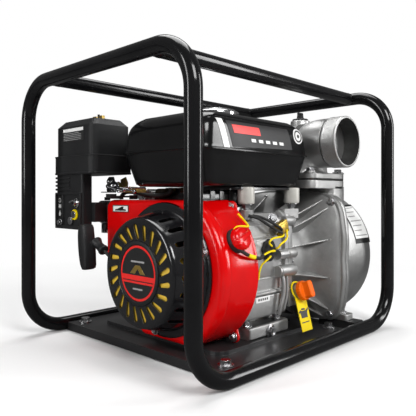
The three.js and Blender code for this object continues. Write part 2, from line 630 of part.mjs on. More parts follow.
// ---- air cleaner --------------------------------------------------------------------------
function airOutline(inset, radius) {
  const { x0, x1, y0, y1 } = AIR_BOX;
  return roundedRectangle(x0 + inset, x1 - inset, y0 + inset, y1 - inset, radius);
}

function addAirCleaner() {
  const tray = slabZ(airOutline(0, 11), AIR_BOX.floor, AIR_BOX.seam);
  const panel = slabZ(roundedRectangle(-190, -170, 119, 202, 4), 178, AIR_BOX.floor + 2);
  const duct = block(-173, -149.6, 108, 140, 191, 223);
  const cavity = slabZ(airOutline(3, 9), AIR_BOX.floor + 3, AIR_BOX.seam + 1);
  const well = block(-187, -173, 122, 199, 182, AIR_BOX.floor + 4);
  const ductBore = block(-175, -148, 123, 137, 195, 219);
  const shell = cut(join(tray, panel, duct), cavity, well, ductBore);
  const stud = rod('z', 3, AIR_BOX.floor + 1, AIR_BOX.top - 2, STUD_X, AIR_MID[1], 12);
  const studTip = rod('z', 2, AIR_BOX.top - 3, STUD_TOP, STUD_X, AIR_MID[1], 12);
  piece(model, 'air_cleaner_body', join(shell, stud, studTip), black_plastic);

  const chamferZ = AIR_BOX.top - 11;
  const sides = slabZ(airOutline(3, 11), AIR_BOX.seam + GAP, chamferZ);
  const crown = slabZ(airOutline(3, 11), chamferZ - 0.1, AIR_BOX.top);
  tapered(crown, ...AIR_MID, (z) => (z > chamferZ ? [0.74, 0.82] : [1, 1]));
  const outer = join(sides, crown);
  const inner = slabZ(airOutline(6, 8), AIR_BOX.seam - 1, AIR_BOX.top - 13);
  const studHole = rod('z', 3 + GAP, AIR_BOX.top - 16, AIR_BOX.top + 1, STUD_X, AIR_MID[1], 14);
  piece(model, 'air_cleaner_cover', cut(outer, inner, studHole), black_plastic);

  const foamBlock = slabZ(airOutline(10, 10), AIR_BOX.floor + 4, AIR_BOX.top - 22);
  const core = rod('z', 8, AIR_BOX.floor, AIR_BOX.top, STUD_X, AIR_MID[1], 16);
  piece(model, 'filter_element', cut(foamBlock, core), foam);

  const hub = rod('z', 6.5, AIR_BOX.top + GAP, AIR_BOX.top + 7, 0, 0, 14);
  const wings = block(-3, 3, -14, 14, AIR_BOX.top + 3, AIR_BOX.top + 11);
  const notch = block(-4, 4, -5, 5, AIR_BOX.top + 7, AIR_BOX.top + 12);
  const thread = rod('z', 3 + GAP, AIR_BOX.top - 1, AIR_BOX.top + 13, 0, 0, 14);
  const nut = cut(join(hub, cut(wings, notch)), thread).translate(STUD_X, AIR_MID[1], 0);
  piece(model, 'wing_nut', nut, zinc_yellow);
}

// ---- exhaust ------------------------------------------------------------------------------
function addMuffler() {
  const { x0, x1, y0, y1, z0, z1 } = MUFFLER;
  const can = slabZ(roundedRectangle(x0, x1, y0, y1, 20), z0, z1);
  const inside = slabZ(roundedRectangle(x0 + 2, x1 - 2, y0 + 2, y1 - 2, 18), z0 + 2, z1 - 2);
  const outlet = rod('y', 10, y1 - 3, y1 + 12, 70, 300, 20);
  const outletBore = rod('y', 8, y1 - 4, y1 + 13, 70, 300, 20);
  const inlet = rod('z', 9, z0 - 1, z0 + 3, 42, 96, 16);
  piece(model, 'muffler', cut(join(can, outlet), inside, outletBore, inlet), cast_iron);

  const reach = 5;
  const outer = slabZ(roundedRectangle(x0 - reach, x1 + reach, y0 - reach, y1 + reach, 24), z0 + 8, z1 + 7);
  const room = slabZ(roundedRectangle(x0 - reach + 2, x1 + reach - 2, y0 - reach + 2, y1 + reach - 2, 22),
    z0 + 7, z1 + 5);
  const mouth = rod('y', 13, y1, y1 + 20, 70, 300, 20);
  const topSlots = Array.from({ length: 7 }, (_, i) =>
    block(10 + i * 13, 15 + i * 13, y0 + 14, y1 - 14, z1, z1 + 9));
  const endSlots = Array.from({ length: 4 }, (_, i) =>
    block(x1, x1 + 8, y0 + 16, y1 - 16, z0 + 18 + i * 13, z0 + 23 + i * 13));
  piece(model, 'muffler_guard', cut(outer, room, mouth, ...topSlots, ...endSlots), gloss_black);
}

// ---- wiring and sensors -------------------------------------------------------------------
function addElectrics() {
  const unit = cut(block(-12, 12, -10, 0, -10, 10), block(-9, 9, -11, -8, 5, 8));
  unit.rotateY(-0.35).translate(15, CRANK_Y - 80.6, CRANK_Z + 57);
  piece(model, 'oil_alert_unit', unit, zinc_yellow);

  const flange = rod('y', 16, -86, -78 - GAP, -18, 23, 24);
  const nose = rod('y', 11, -91, -85, -18, 23, 20);
  piece(crankGroup, 'wire_grommet', join(flange, nose), rubber);

  const routes = {
    switch_wire: [[-119, -168, 157], [-108, -170, 151], [-88, -170, 147], [-72, -160, 146],
      [-52, -150, 148], [-34, -147, 151], [-24, -147, 151], [-22, -145, 151], [-22, -142.2, 151]],
    sensor_wire: [[-14, -142.2, 154], [-14, -146, 155], [-10, -149, 161], [0, -149, 165],
      [9, -146, 170], [13, -142.8, 176], [14, -142.6, 181]],
  };
  for (const [name, route] of Object.entries(routes)) {
    piece(model, name, tubeThrough(smoothPoints(route, 14), 1.4, 8), yellow_plastic);
  }
}

// ---- pump ---------------------------------------------------------------------------------
// Squarish flange outline with swelling sides, cut flat at the mounting plane.
function flangeOutline(half) {
  const shape = new THREE.Shape();
  const power = 2 / 4.5;
  const count = 28;
  for (let i = 0; i < count; i += 1) {
    const angle = (2 * Math.PI * i) / count;
    const [c, s] = [Math.cos(angle), Math.sin(angle)];
    const y = PUMP_Y + half * Math.sign(c) * Math.abs(c) ** power;
    const z = Math.max(half * Math.sign(s) * Math.abs(s) ** power, MOUNT_Z + GAP - CRANK_Z);
    if (i === 0) shape.moveTo(y, z);
    else shape.lineTo(y, z);
  }
  return shape;
}

function addPumpCover() {
  const bell = turned([[COVER_X1 + GAP, 44], [COVER_X1 + GAP, 72], [100, 76], [130, 104], [138, 106],
    [138, 100], [106, 70], [106, SEAL_SEAT_R], [98, SEAL_SEAT_R], [98, 44]], 24);
  const flange = cut(slabX(flangeOutline(FLANGE_HALF), FLANGE_X - 12, FLANGE_X - GAP),
    rod('x', 101, FLANGE_X - 13, FLANGE_X + 1, 0, 0, 24));
  const rib = new THREE.Shape([new THREE.Vector2(50, 70), new THREE.Vector2(60, 80),
    new THREE.Vector2(136, 116), new THREE.Vector2(137, 96), new THREE.Vector2(98, 68)]);
  const ribs = around(4, (angle) => [-9, 9].map((side) => {
    const web = new THREE.ExtrudeGeometry(rib, { ...EXTRUDE, depth: 3 });
    return web.rotateX(Math.PI / 2).translate(0, 1.5 + side, 0).rotateX(angle + Math.PI / 4);
  })).flat();
  const neckRoom = block(40, 68, -110, -70, -74, -24);
  piece(crankGroup, 'pump_cover', cut(join(bell, flange, ...ribs), neckRoom), cast_aluminium);

  const seal = turned([[106.3, 12.3], [106.3, 27], [112, 27], [116, 19], [116, 12.3]], 28);
  piece(crankGroup, 'mechanical_seal', seal, rubber);
}

function addCasing() {
  const flange = slabX(flangeOutline(FLANGE_HALF), FLANGE_X + GAP, FLANGE_X + 10);
  const drum = turned([[FLANGE_X + GAP, 0], [FLANGE_X + GAP, 110], [172, 115], [225, 118], [230, 115],
    [CASING_X1, 110], [CASING_X1, 0]], 28, PUMP_Y, 0);
  const bossTop = ELBOW.base - CRANK_Z;
  const { x, y } = ELBOW;
  const shelf = slabZ(roundedRectangle(x - 56, x + 56, y - 57, y + 57, 16), bossTop - 14, bossTop);
  const boss = slabZ(roundedRectangle(FLANGE_X + GAP, x + 56, y - 57, y + 57, 14), 60, bossTop - 2);
  const footY = [[-122, -88], [76, 110]];
  const feet = footY.map(([y0, y1]) => block(FLANGE_X + GAP, 168, y0, y1, MOUNT_Z + GAP - CRANK_Z, -97));
  const drainPlug = rod('x', 12, CASING_X1 - 1, CASING_X1 + 9, PUMP_Y, -78, 6);
  const body = join(flange, drum, shelf, boss, drainPlug, ...feet);

  const room = turned([[FLANGE_X - 1, 0], [FLANGE_X - 1, 104], [172, 109], [222, 112],
    [CASING_X1 - 6, 108], [CASING_X1 - 6, 0]], 24, PUMP_Y, 0);
  const outlet = rod('z', PORT_BORE_R, bossTop - 8, bossTop + 1, x, y, 24);
  const passage = block(FLANGE_X + 8, x + PORT_BORE_R - 4, y - 28, y + 28, 70, bossTop - 7);
  const inlet = rod('x', PORT_BORE_R, CASING_X1 - 8, CASING_X1 + 1, PUMP_Y, SUCTION_Z, 24);
  piece(crankGroup, 'pump_casing', cut(body, room, outlet, passage, inlet), cast_aluminium);
}

function addPumpInternals() {
  const volute = turned([[FLANGE_X + 2, 70], [FLANGE_X + 2, 78], [182, 78], [182, 30], [178, 30],
    [178, 70]], 24);
  const throat = block(150, 176, -16, 16, 60, 90);
  piece(crankGroup, 'volute', cut(volute, throat), cast_iron);

  const hub = turned([[148, 12.3], [148, 20], [176, 16], [176, 0], [166, 0], [166, 12.3]], 16);
  const backPlate = turned([[148, 14], [148, 64], [151, 64], [151, 14]], 24);
  const vanes = around(4, (angle) => {
    const arc = new THREE.Shape();
    arc.absarc(30, 0, 38, Math.PI * 0.62, Math.PI * 0.12, true);
    arc.absarc(30, 0, 33, Math.PI * 0.12, Math.PI * 0.62, false);
    return slabX(arc, 150, 174, 3).rotateX(angle);
  });
  piece(crankGroup, 'impeller', join(hub, backPlate, ...vanes), cast_iron);

  const flapX = CASING_X1 - 12;
  const disc = rod('x', 41.5, flapX, flapX + 5, PUMP_Y, SUCTION_Z, 24);
  const weight = rod('x', 24, flapX - 4, flapX + 1, PUMP_Y, SUCTION_Z, 16);
  const tongue = block(flapX, flapX + 5, PUMP_Y - 14, PUMP_Y + 14, SUCTION_Z + 36, SUCTION_Z + 48);
  piece(crankGroup, 'valve_flap', join(disc, weight, tongue), rubber);
}

function addDischarge() {
  const { x, base, axisZ } = ELBOW;
  const y = CRANK_Y + ELBOW.y;
  const faceY = CRANK_Y + ELBOW.faceY;
  const outline = roundedRectangle(x - 55, x + 56, y - 57, y + 57, 16);
  const gasket = cut(slabZ(outline, base + GAP, base + 3), rod('z', 40, base, base + 4, x, y, 24));
  piece(model, 'elbow_gasket', gasket, rubber);

  const flangeZ = base + 3 + GAP;
  const flange = slabZ(outline, flangeZ, flangeZ + 9);
  const neck = rod('z', PORT_R, flangeZ, axisZ, x, y, 20);
  const knee = new THREE.SphereGeometry(PORT_R, 20, 10).translate(x, y, axisZ);
  const outlet = rod('y', PORT_R - 1, faceY + 28, y, x, axisZ, 20);
  const thread = rod('y', PORT_R, faceY, faceY + 30, x, axisZ, 20);
  const fillBoss = rod('z', 17, axisZ + 30, axisZ + 44, x, y + 6, 16);
  const bossBolts = [[-45, -45], [45, -45], [-45, 45], [45, 45]].map(([dx, dy]) =>
    rod('z', HEX_R, flangeZ + 8, flangeZ + 16, x + dx, y + dy, 6));
  const body = join(flange, neck, knee, outlet, thread, fillBoss, ...bossBolts);
  const riser = rod('z', PORT_BORE_R, flangeZ - 1, axisZ, x, y, 16);
  const turn = new THREE.SphereGeometry(PORT_BORE_R, 16, 8).translate(x, y, axisZ);
  const bore = rod('y', PORT_BORE_R, faceY - 1, y, x, axisZ, 16);
  const fillHole = rod('z', 11, axisZ + 20, axisZ + 45, x, y + 6, 16);
  piece(model, 'discharge_elbow', cut(body, riser, turn, bore, fillHole), cast_aluminium);

  const top = axisZ + 44 + GAP;
  const plug = turnedUpright([[0, top - 16], [10.6, top - 16], [10.6, top], [16, top], [16, top + 4],
    [10, top + 5], [10, top + 10], [4, top + 11], [4, top + 17], [0, top + 17]], 24, x, y + 6);
  piece(model, 'fill_plug', plug, black_plastic);
}

function addSuction() {
  const x0 = CASING_X1 + GAP;
  const flange = slabX(roundedRectangle(PUMP_Y - 50, PUMP_Y + 50, SUCTION_Z - 50, SUCTION_Z + 50, 18),
    x0, x0 + 8);
  const spout = rod('x', PORT_R, x0, 253, PUMP_Y, SUCTION_Z, 28);
  const bore = rod('x', PORT_BORE_R, x0 - 1, 254, PUMP_Y, SUCTION_Z, 24);
  piece(crankGroup, 'suction_port', cut(join(flange, spout), bore), cast_aluminium);
}

addFrame();
addBase();
addCrankcase();
addCrankcaseCover();
addDipstick();
addHead();
addCrankTrain();
addPiston();
addStarter();
addBlower();
addTank();
addCarburetor();
addAirCleaner();
addMuffler();
addElectrics();
addPumpCover();
addCasing();
addPumpInternals();
addDischarge();
addSuction();

export default model;
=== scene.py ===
import math

import bmesh
import bpy
from mathutils import Matrix, Vector


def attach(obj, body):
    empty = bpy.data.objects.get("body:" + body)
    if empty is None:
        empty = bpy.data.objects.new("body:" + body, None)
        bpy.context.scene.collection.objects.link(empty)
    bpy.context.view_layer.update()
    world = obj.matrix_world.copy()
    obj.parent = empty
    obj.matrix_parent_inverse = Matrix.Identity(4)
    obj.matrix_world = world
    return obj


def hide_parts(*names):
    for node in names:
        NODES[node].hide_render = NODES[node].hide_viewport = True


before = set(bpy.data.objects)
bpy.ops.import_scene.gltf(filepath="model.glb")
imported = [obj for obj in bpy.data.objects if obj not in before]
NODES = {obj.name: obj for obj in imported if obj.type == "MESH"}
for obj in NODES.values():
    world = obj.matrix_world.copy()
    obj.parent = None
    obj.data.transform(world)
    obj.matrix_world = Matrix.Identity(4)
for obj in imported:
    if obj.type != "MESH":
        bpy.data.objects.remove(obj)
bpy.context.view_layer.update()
MM = 0.001
SET = "pump_set"

# ---- camera -------------------------------------------------------------------------------
camera_data = bpy.data.cameras.new("camera")
camera_data.sensor_width = 36
camera_data.lens = 44.59
camera_data.shift_x = -0.02356
camera_data.shift_y = -0.0303
camera = bpy.data.objects.new("camera", camera_data)
camera.location = (-0.6444, -0.6222, 0.2348)
camera.rotation_euler = (math.radians(90), 0, math.radians(-46.26))
bpy.context.collection.objects.link(camera)
bpy.context.scene.camera = camera


# ---- mesh tools (all lengths in millimetres) ------------------------------------------------
def linked(name, bm):
    """Object made from a bmesh in millimetres."""
    bmesh.ops.recalc_face_normals(bm, faces=bm.faces)
    bmesh.ops.scale(bm, vec=(MM, MM, MM), verts=bm.verts)
    mesh = bpy.data.meshes.new(name)
    bm.to_mesh(mesh)
    bm.free()
    piece = bpy.data.objects.new(name, mesh)
    bpy.context.collection.objects.link(piece)
    return piece


def made(name, bm, material, body=SET, stands_for=(), crease=35, slot="usual"):
    """Finished piece that rides on a body; a slot, the material's usual one unless given, is worked out
    but not given to the piece.
    """
    piece = linked(name, bm)
    mesh = piece.data
    smooth(mesh, crease)
    mesh.materials.append(material)
    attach(piece, body)
    if stands_for:
        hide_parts(*stands_for)
    slot = SLOTS[material] if slot == "usual" else slot
    return piece


def smooth(mesh, crease):
    mesh.shade_smooth()
    mesh.set_sharp_from_angle(angle=math.radians(crease))


def angles(count):
    return [math.tau * k / count for k in range(count)]


def add_rings(bm, rings, loop=False, caps=True):
    """Skins a list of closed rings of points, each ring with the same count."""
    rows = [[bm.verts.new(p) for p in ring] for ring in rings]
    count = len(rows[0])
    pairs = list(zip(rows, rows[1:] + rows[:1])) if loop else list(zip(rows, rows[1:]))
    for low, high in pairs:
        for i in range(count):
            j = (i + 1) % count
            bm.faces.new((low[i], low[j], high[j], high[i]))
    if caps and not loop:
        bm.faces.new(rows[0])
        bm.faces.new(rows[-1])
    return rows


def basis(axis):
    axis = Vector(axis).normalized()
    side = Vector((0, 0, 1)) if abs(axis.z) < 0.9 else Vector((1, 0, 0))
    u = axis.cross(side).normalized()
    return axis, u, axis.cross(u)


def turn(bm, origin, axis, profile, segments=64, caps=True, loop=False):
    """Revolves (distance along the axis, radius) points."""
    axis, u, v = basis(axis)
    origin = Vector(origin)
    rings = []
    for along, radius in profile:
        rings.append([origin + axis * along + (u * math.cos(a) + v * math.sin(a)) * radius
                      for a in angles(segments)])
    return add_rings(bm, rings, loop=loop, caps=caps)


def tube(bm, points, radius, sides=24):
    """Sweeps a circle along points with a frame carried from one point to the next."""
    points = [Vector(p) for p in points]
    tangents = []
    for i, p in enumerate(points):
        before = points[max(i - 1, 0)]
        after = points[min(i + 1, len(points) - 1)]
        tangents.append((after - before).normalized())
    _, u, _ = basis(tangents[0])
    rings = []
    for p, t in zip(points, tangents):
        u = (u - t * u.dot(t)).normalized()
        v = t.cross(u)
        rings.append([p + (u * math.cos(a) + v * math.sin(a)) * radius for a in angles(sides)])
    return add_rings(bm, rings)


def bend_points(corner, start_dir, end_dir, radius, steps=18):
    corner, start_dir, end_dir = Vector(corner), Vector(start_dir), Vector(end_dir)
    centre = corner - start_dir * radius + end_dir * radius
    points = []
    for i in range(steps + 1):
        a = math.pi / 2 * i / steps
        points.append(centre - end_dir * radius * math.cos(a) + start_dir * radius * math.sin(a))
    return points


def spline(points, steps=10):
    """Catmull-Rom points through the given ones."""
    p = [Vector(q) for q in points]
    p = [p[0] * 2 - p[1], *p, p[-1] * 2 - p[-2]]
    out = []
    for i in range(1, len(p) - 2):
        for k in range(steps):
            t = k / steps
            a, b, c, d = p[i - 1], p[i], p[i + 1], p[i + 2]
            out.append(0.5 * (2 * b + (c - a) * t + (2 * a - 5 * b + 4 * c - d) * t * t
                              + (3 * b - a - 3 * c + d) * t ** 3))
    out.append(p[-2])
    return out


def rounded(u0, u1, v0, v1, radius, steps=8):
    """Rounded rectangle outline as (u, v) points."""
    points = []
    corners = [(u1 - radius, v1 - radius, 0), (u0 + radius, v1 - radius, 1),
               (u0 + radius, v0 + radius, 2), (u1 - radius, v0 + radius, 3)]
    for cu, cv, quarter in corners:
        for k in range(steps + 1):
            a = math.pi / 2 * (quarter + k / steps)
            points.append((cu + radius * math.cos(a), cv + radius * math.sin(a)))
    return points


def plate(bm, outline, place, low, high, round_edge=0.0):
    """Extrudes an outline; place(u, v, w) gives the point. The top edge may be rounded."""
    def inset(amount):
        n = len(outline)
        out = []
        for i, (u, v) in enumerate(outline):
            pu, pv = outline[i - 1]
            nu, nv = outline[(i + 1) % n]
            t = Vector((nu - pu, nv - pv)).normalized()
            out.append((u - t.y * amount, v + t.x * amount))
        return out

    rings = [[place(u, v, low) for u, v in outline]]
    if round_edge:
        for k in range(4):
            a = math.pi / 2 * k / 3
            shrink = round_edge * (1 - math.cos(a))
            rise = round_edge * (1 - math.sin(a))
            rings.append([place(u, v, high - rise) for u, v in inset(shrink)])
    else:
        rings.append([place(u, v, high) for u, v in outline])
    return add_rings(bm, rings)


def box(bm, x0, x1, y0, y1, z0, z1):
    corners = [(x0, y0), (x1, y0), (x1, y1), (x0, y1)]
    return add_rings(bm, [[(x, y, z0) for x, y in corners], [(x, y, z1) for x, y in corners]])


def bolt(bm, at, axis, size=6.5, height=5.5, washer=9.0):
    """Hexagon bolt head with a pressed washer and a chamfered top."""
    turn(bm, at, axis, [(0, washer * 0.97), (0.2, washer), (1.4, washer), (1.7, washer * 0.95)], 32)
    direction, u, v = basis(axis)
    at = Vector(at)

    def ring(along, radius, flats=1.0):
        points = []
        for k, a in enumerate(angles(12)):
            reach = radius * (1.0 if k % 2 == 0 else flats)
            points.append(at + direction * along + (u * math.cos(a) + v * math.sin(a)) * reach)
        return points

    hexagon = math.cos(math.pi / 6)
    add_rings(bm, [ring(1.5, size, hexagon), ring(height - 0.9, size, hexagon),
                   ring(height, size * 0.86), ring(height, size * 0.6),
                   ring(height - 0.5, size * 0.5)])


# ---- materials ----------------------------------------------------------------------------
def surface(name, base, dark=None, rough=(0.3, 0.4), metal=0.0, grain=(400, 0.15), blotch=12,
            edge=0.8, wear=None, wear_amount=0.6, coat=0.0, specular=0.5, coarse=None):
    """Principled material with blotches, fine grain, rounded edges and edge wear."""
    material = bpy.data.materials.new(name)
    material.use_nodes = True
    tree = material.node_tree
    nodes, links = tree.nodes, tree.links
    shader = nodes["Principled BSDF"]
    shader.inputs["Metallic"].default_value = metal
    shader.inputs["Specular IOR Level"].default_value = specular
    shader.inputs["Coat Weight"].default_value = coat
    shader.inputs["Coat Roughness"].default_value = 0.08
    vector = nodes.new("ShaderNodeTexCoord").outputs["Object"]

    def put(kind, **values):
        """New node; a value's name is its socket's, in lower case with _ for each space."""
        node = nodes.new("ShaderNode" + kind)
        for socket, value in values.items():
            node.inputs[socket.replace("_", " ").title()].default_value = value
        return node

    def noise(scale, detail):
        node = put("TexNoise", scale=scale, detail=detail, roughness=0.6)
        links.new(vector, node.inputs["Vector"])
        return node.outputs["Fac"]

    def remap(value, low, high, to_low, to_high):
        node = put("MapRange", from_min=low, from_max=high, to_min=to_low, to_max=to_high)
        links.new(value, node.inputs["Value"])
        return node.outputs["Result"]

    def blend_colour(factor, first, second):
        node = nodes.new("ShaderNodeMix")
        node.data_type = "RGBA"
        links.new(factor, node.inputs["Factor"])
        for socket, value in ((node.inputs["A"], first), (node.inputs["B"], second)):
            if isinstance(value, tuple):
                socket.default_value = (*value, 1)
            else:
                links.new(value, socket)
        return node.outputs["Result"]

    dark = dark or tuple(c * 0.75 for c in base)
    broad = noise(blotch, 5.0)
    colour = blend_colour(remap(broad, 0.35, 0.68, 0, 1), base, dark)
    fine = noise(grain[0], 3.0)
    links.new(remap(broad, 0.3, 0.7, rough[0], rough[1]), shader.inputs["Roughness"])

    rounding = put("Bevel", radius=edge * MM)
    rounding.samples = 4
    geometry = nodes.new("ShaderNodeNewGeometry")
    if wear:
        dot = nodes.new("ShaderNodeVectorMath")
        dot.operation = "DOT_PRODUCT"
        links.new(rounding.outputs["Normal"], dot.inputs[0])
        links.new(geometry.outputs["Normal"], dot.inputs[1])
        worn = remap(dot.outputs["Value"], 0.995, 0.86, 0, wear_amount)
        colour = blend_colour(worn, colour, wear)
    links.new(colour, shader.inputs["Base Color"])
    bump = put("Bump", strength=grain[1], distance=0.0006)
    links.new(fine, bump.inputs["Height"])
    links.new(rounding.outputs["Normal"], bump.inputs["Normal"])
    last = bump
    if coarse:
        second = put("Bump", strength=coarse[1], distance=0.002)
        links.new(noise(coarse[0], 2.0), second.inputs["Height"])
        links.new(bump.outputs["Normal"], second.inputs["Normal"])
        last = second
    links.new(last.outputs["Normal"], shader.inputs["Normal"])
    return material


GLOSS_BLACK = surface("frame_paint", (0.0065, 0.0065, 0.007), (0.003, 0.003, 0.0035),
                      rough=(0.1, 0.19), grain=(900, 0.03), wear=(0.02, 0.02, 0.02), coat=0.1,
                      wear_amount=0.4, specular=0.3)
TANK_BLACK = surface("tank_paint", (0.006, 0.006, 0.0065), (0.003, 0.003, 0.003),
                     rough=(0.1, 0.17), grain=(700, 0.03), coat=0.1, edge=1.5, specular=0.3,
                     wear=(0.02, 0.02, 0.02), wear_amount=0.3)
RED = surface("red_paint", (0.66, 0.0006, 0.0012), (0.54, 0.0005, 0.001), rough=(0.13, 0.2),
              grain=(800, 0.04), coat=0.0, edge=2.0, specular=0.35,
              wear=(0.75, 0.05, 0.04), wear_amount=0.3)
TRAY_BLACK = surface("tray_paint", (0.022, 0.022, 0.023), (0.013, 0.013, 0.014), rough=(0.3, 0.42),
                     grain=(900, 0.08), blotch=9, wear=(0.05, 0.05, 0.05), wear_amount=0.5,
                     specular=0.5)
SATIN_BLACK = surface("moulded_black", (0.013, 0.0135, 0.014), (0.008, 0.008, 0.009),
                      rough=(0.42, 0.52), grain=(1400, 0.22), edge=1.2, specular=0.35,
                      wear=(0.035, 0.035, 0.037), wear_amount=0.6)
STARTER_BLACK = surface("starter_black", (0.008, 0.008, 0.009), (0.004, 0.004, 0.005),
                        rough=(0.12, 0.2), grain=(1000, 0.06), edge=1.0, coat=0.35,
                        specular=0.5, wear=(0.03, 0.03, 0.03), wear_amount=0.4)
ALUMINIUM = surface("cast_aluminium", (0.53, 0.53, 0.525), (0.40, 0.40, 0.395),
                    rough=(0.33, 0.5), metal=0.92, grain=(900, 0.28), blotch=16, edge=1.2,
                    wear=(0.8, 0.8, 0.79), wear_amount=0.7, coarse=(120, 0.12))
ENGINE_CAST = surface("engine_casting", (0.52, 0.52, 0.515), (0.38, 0.38, 0.375),
                      rough=(0.36, 0.55), metal=0.85, grain=(1100, 0.35), blotch=18, edge=1.2,
                      wear=(0.85, 0.85, 0.84), wear_amount=0.7, coarse=(150, 0.15))
MACHINED = surface("machined_steel", (0.62, 0.62, 0.63), (0.42, 0.42, 0.43), rough=(0.2, 0.34),
                   metal=1.0, grain=(1600, 0.1), blotch=60, edge=0.5, wear=(0.8, 0.8, 0.8))
CHROME = surface("chrome", (0.75, 0.75, 0.76), (0.62, 0.62, 0.63), rough=(0.1, 0.2), metal=1.0,
                 grain=(900, 0.04), blotch=30, edge=0.7)
ZINC = surface("yellow_zinc", (0.62, 0.42, 0.10), (0.42, 0.30, 0.10), rough=(0.25, 0.4),
               metal=0.9, grain=(1300, 0.14), blotch=45, edge=0.6, wear=(0.75, 0.6, 0.3))
# brightened copy of the zinc yellow: painted light on the reel plate, which sits in shade behind the
# starter's slots
REEL_GOLD_PAINTED_BRIGHT = surface("reel_gold_painted_bright", (1.0, 0.66, 0.06), (0.86, 0.55, 0.05), rough=(0.3, 0.42),
                    metal=0.1, grain=(1300, 0.14), blotch=45, edge=0.6)
UNIT_GOLD = surface("unit_gold", (0.60, 0.40, 0.07), (0.42, 0.27, 0.05), rough=(0.22, 0.36),
                    metal=0.75, grain=(1300, 0.14), blotch=45, edge=0.9, wear=(0.8, 0.66, 0.3))
MOUNT_PAD = surface("mount_pad", (0.56, 0.55, 0.51), (0.44, 0.43, 0.39), rough=(0.3, 0.5),
                    grain=(1100, 0.15), blotch=40, edge=0.9, metal=0.3)
RUBBER = surface("rubber", (0.012, 0.012, 0.012), (0.02, 0.02, 0.019), rough=(0.6, 0.8),
                 grain=(1500, 0.2), edge=0.6)
YELLOW = surface("yellow_plastic", (0.90, 0.70, 0.0), (0.82, 0.60, 0.0), rough=(0.45, 0.58),
                 grain=(1200, 0.08), edge=0.4, specular=0.2)
ORANGE = surface("orange_plastic", (0.95, 0.15, 0.0), (0.85, 0.11, 0.0), rough=(0.38, 0.5),
                 grain=(1300, 0.1), edge=0.9, wear=(0.98, 0.3, 0.02), wear_amount=0.4, specular=0.2)
# darker copy of the cast aluminium: painted shade on the pump cover's bell, while its ribs and bosses
# keep the lighter aluminium
BELL_CAST_PAINTED_SHADE = surface("bell_casting_painted_shade", (0.40, 0.40, 0.395), (0.27, 0.27, 0.265), rough=(0.5, 0.66),
                    metal=0.88, grain=(900, 0.35), blotch=14, edge=1.2, wear=(0.75, 0.75, 0.74),
                    wear_amount=0.6, coarse=(120, 0.15))
# near-black copy of the cast aluminium: painted shade inside the elbow's bore
PORT_BORE_PAINTED_SHADE = surface("port_bore_painted_shade", (0.075, 0.075, 0.073), (0.04, 0.04, 0.039), rough=(0.55, 0.75),
                    metal=0.5, grain=(700, 0.5), blotch=25, edge=0.6, specular=0.25)
CAST_IRON = surface("exhaust_steel", (0.16, 0.155, 0.15), (0.09, 0.075, 0.065), rough=(0.4, 0.62),
                    metal=0.8, grain=(900, 0.25), blotch=22, edge=0.8, wear=(0.3, 0.28, 0.26))
FOAM = surface("filter_foam", (0.10, 0.098, 0.09), (0.05, 0.05, 0.047), rough=(0.85, 0.97),
               grain=(900, 0.9), edge=0.5)
WHITE = surface("label_white", (0.82, 0.82, 0.81), (0.76, 0.76, 0.75), rough=(0.35, 0.45),
                grain=(900, 0.03), edge=0.1)
LABEL_BLACK = surface("label_black", (0.010, 0.010, 0.010), (0.014, 0.014, 0.014),
                      rough=(0.3, 0.4), grain=(900, 0.03), edge=0.1)
LABEL_GREY = surface("label_grey", (0.020, 0.020, 0.021), (0.016, 0.016, 0.017),
                     rough=(0.3, 0.4), grain=(900, 0.04), edge=0.1, specular=0.25)
LABEL_LINE = surface("label_line", (0.32, 0.32, 0.32), (0.26, 0.26, 0.26), rough=(0.35, 0.45),
                     grain=(900, 0.03), edge=0.1)
LABEL_RED = surface("label_red", (0.80, 0.012, 0.008), (0.68, 0.008, 0.005), rough=(0.3, 0.4),
                    grain=(900, 0.03), edge=0.1)

FINISH = {
    GLOSS_BLACK: ["frame_front_hoop", "frame_rear_hoop", "top_rail_left", "top_rail_right",
                  "muffler_guard"],
    TRAY_BLACK: ["base_tray", "pump_crossmember"],
    TANK_BLACK: ["fuel_tank"],
    RED: ["fan_cover", "stop_switch"],
    SATIN_BLACK: ["air_cleaner_body", "air_cleaner_cover", "starter_handle", "fill_plug",
                  "choke_lever", "fuel_valve", "throttle_lever", "switch_base", "cooling_fan"],
    STARTER_BLACK: ["recoil_housing"],
    ALUMINIUM: ["pump_cover", "pump_casing", "discharge_elbow", "suction_port"],
    ENGINE_CAST: ["crankcase", "crankcase_cover", "cylinder_head", "carburetor", "valve_cover"],
    MACHINED: ["crankshaft", "piston", "base_bolt_1", "base_bolt_2", "base_bolt_3", "base_bolt_4",
               "engine_bolt_1", "engine_bolt_2", "spark_plug"],
    CHROME: ["fuel_cap", "tank_post_front", "tank_post_rear"],
    ZINC: ["starter_cup", "recoil_reel", "wing_nut", "oil_alert_unit"],
    RUBBER: ["elbow_gasket", "wire_grommet", "mechanical_seal", "valve_flap", "recoil_rope",
             "fuel_hose"],
    YELLOW: ["switch_wire", "sensor_wire", "oil_tag"],
    ORANGE: ["dipstick"],
    CAST_IRON: ["muffler", "flywheel", "impeller", "volute"],
    FOAM: ["filter_element"],
}
SLOTS = {
    GLOSS_BLACK: "gloss_black", TANK_BLACK: "gloss_black", STARTER_BLACK: "gloss_black",
    RED: "red_paint", SATIN_BLACK: "black_plastic", ALUMINIUM: "cast_aluminium",
    BELL_CAST_PAINTED_SHADE: "cast_aluminium", ENGINE_CAST: "cast_aluminium", PORT_BORE_PAINTED_SHADE: "cast_aluminium",
    MACHINED: "steel", CHROME: "chrome", MOUNT_PAD: "chrome", REEL_GOLD_PAINTED_BRIGHT: "zinc_yellow",
    UNIT_GOLD: "zinc_yellow", ZINC: "zinc_yellow", RUBBER: "rubber", YELLOW: "yellow_plastic",
    ORANGE: "orange_plastic",
}
for material, names in FINISH.items():
    for name in names:
        node = NODES[name]
        node.data.materials.clear()
        node.data.materials.append(material)
        smooth(node.data, 32)

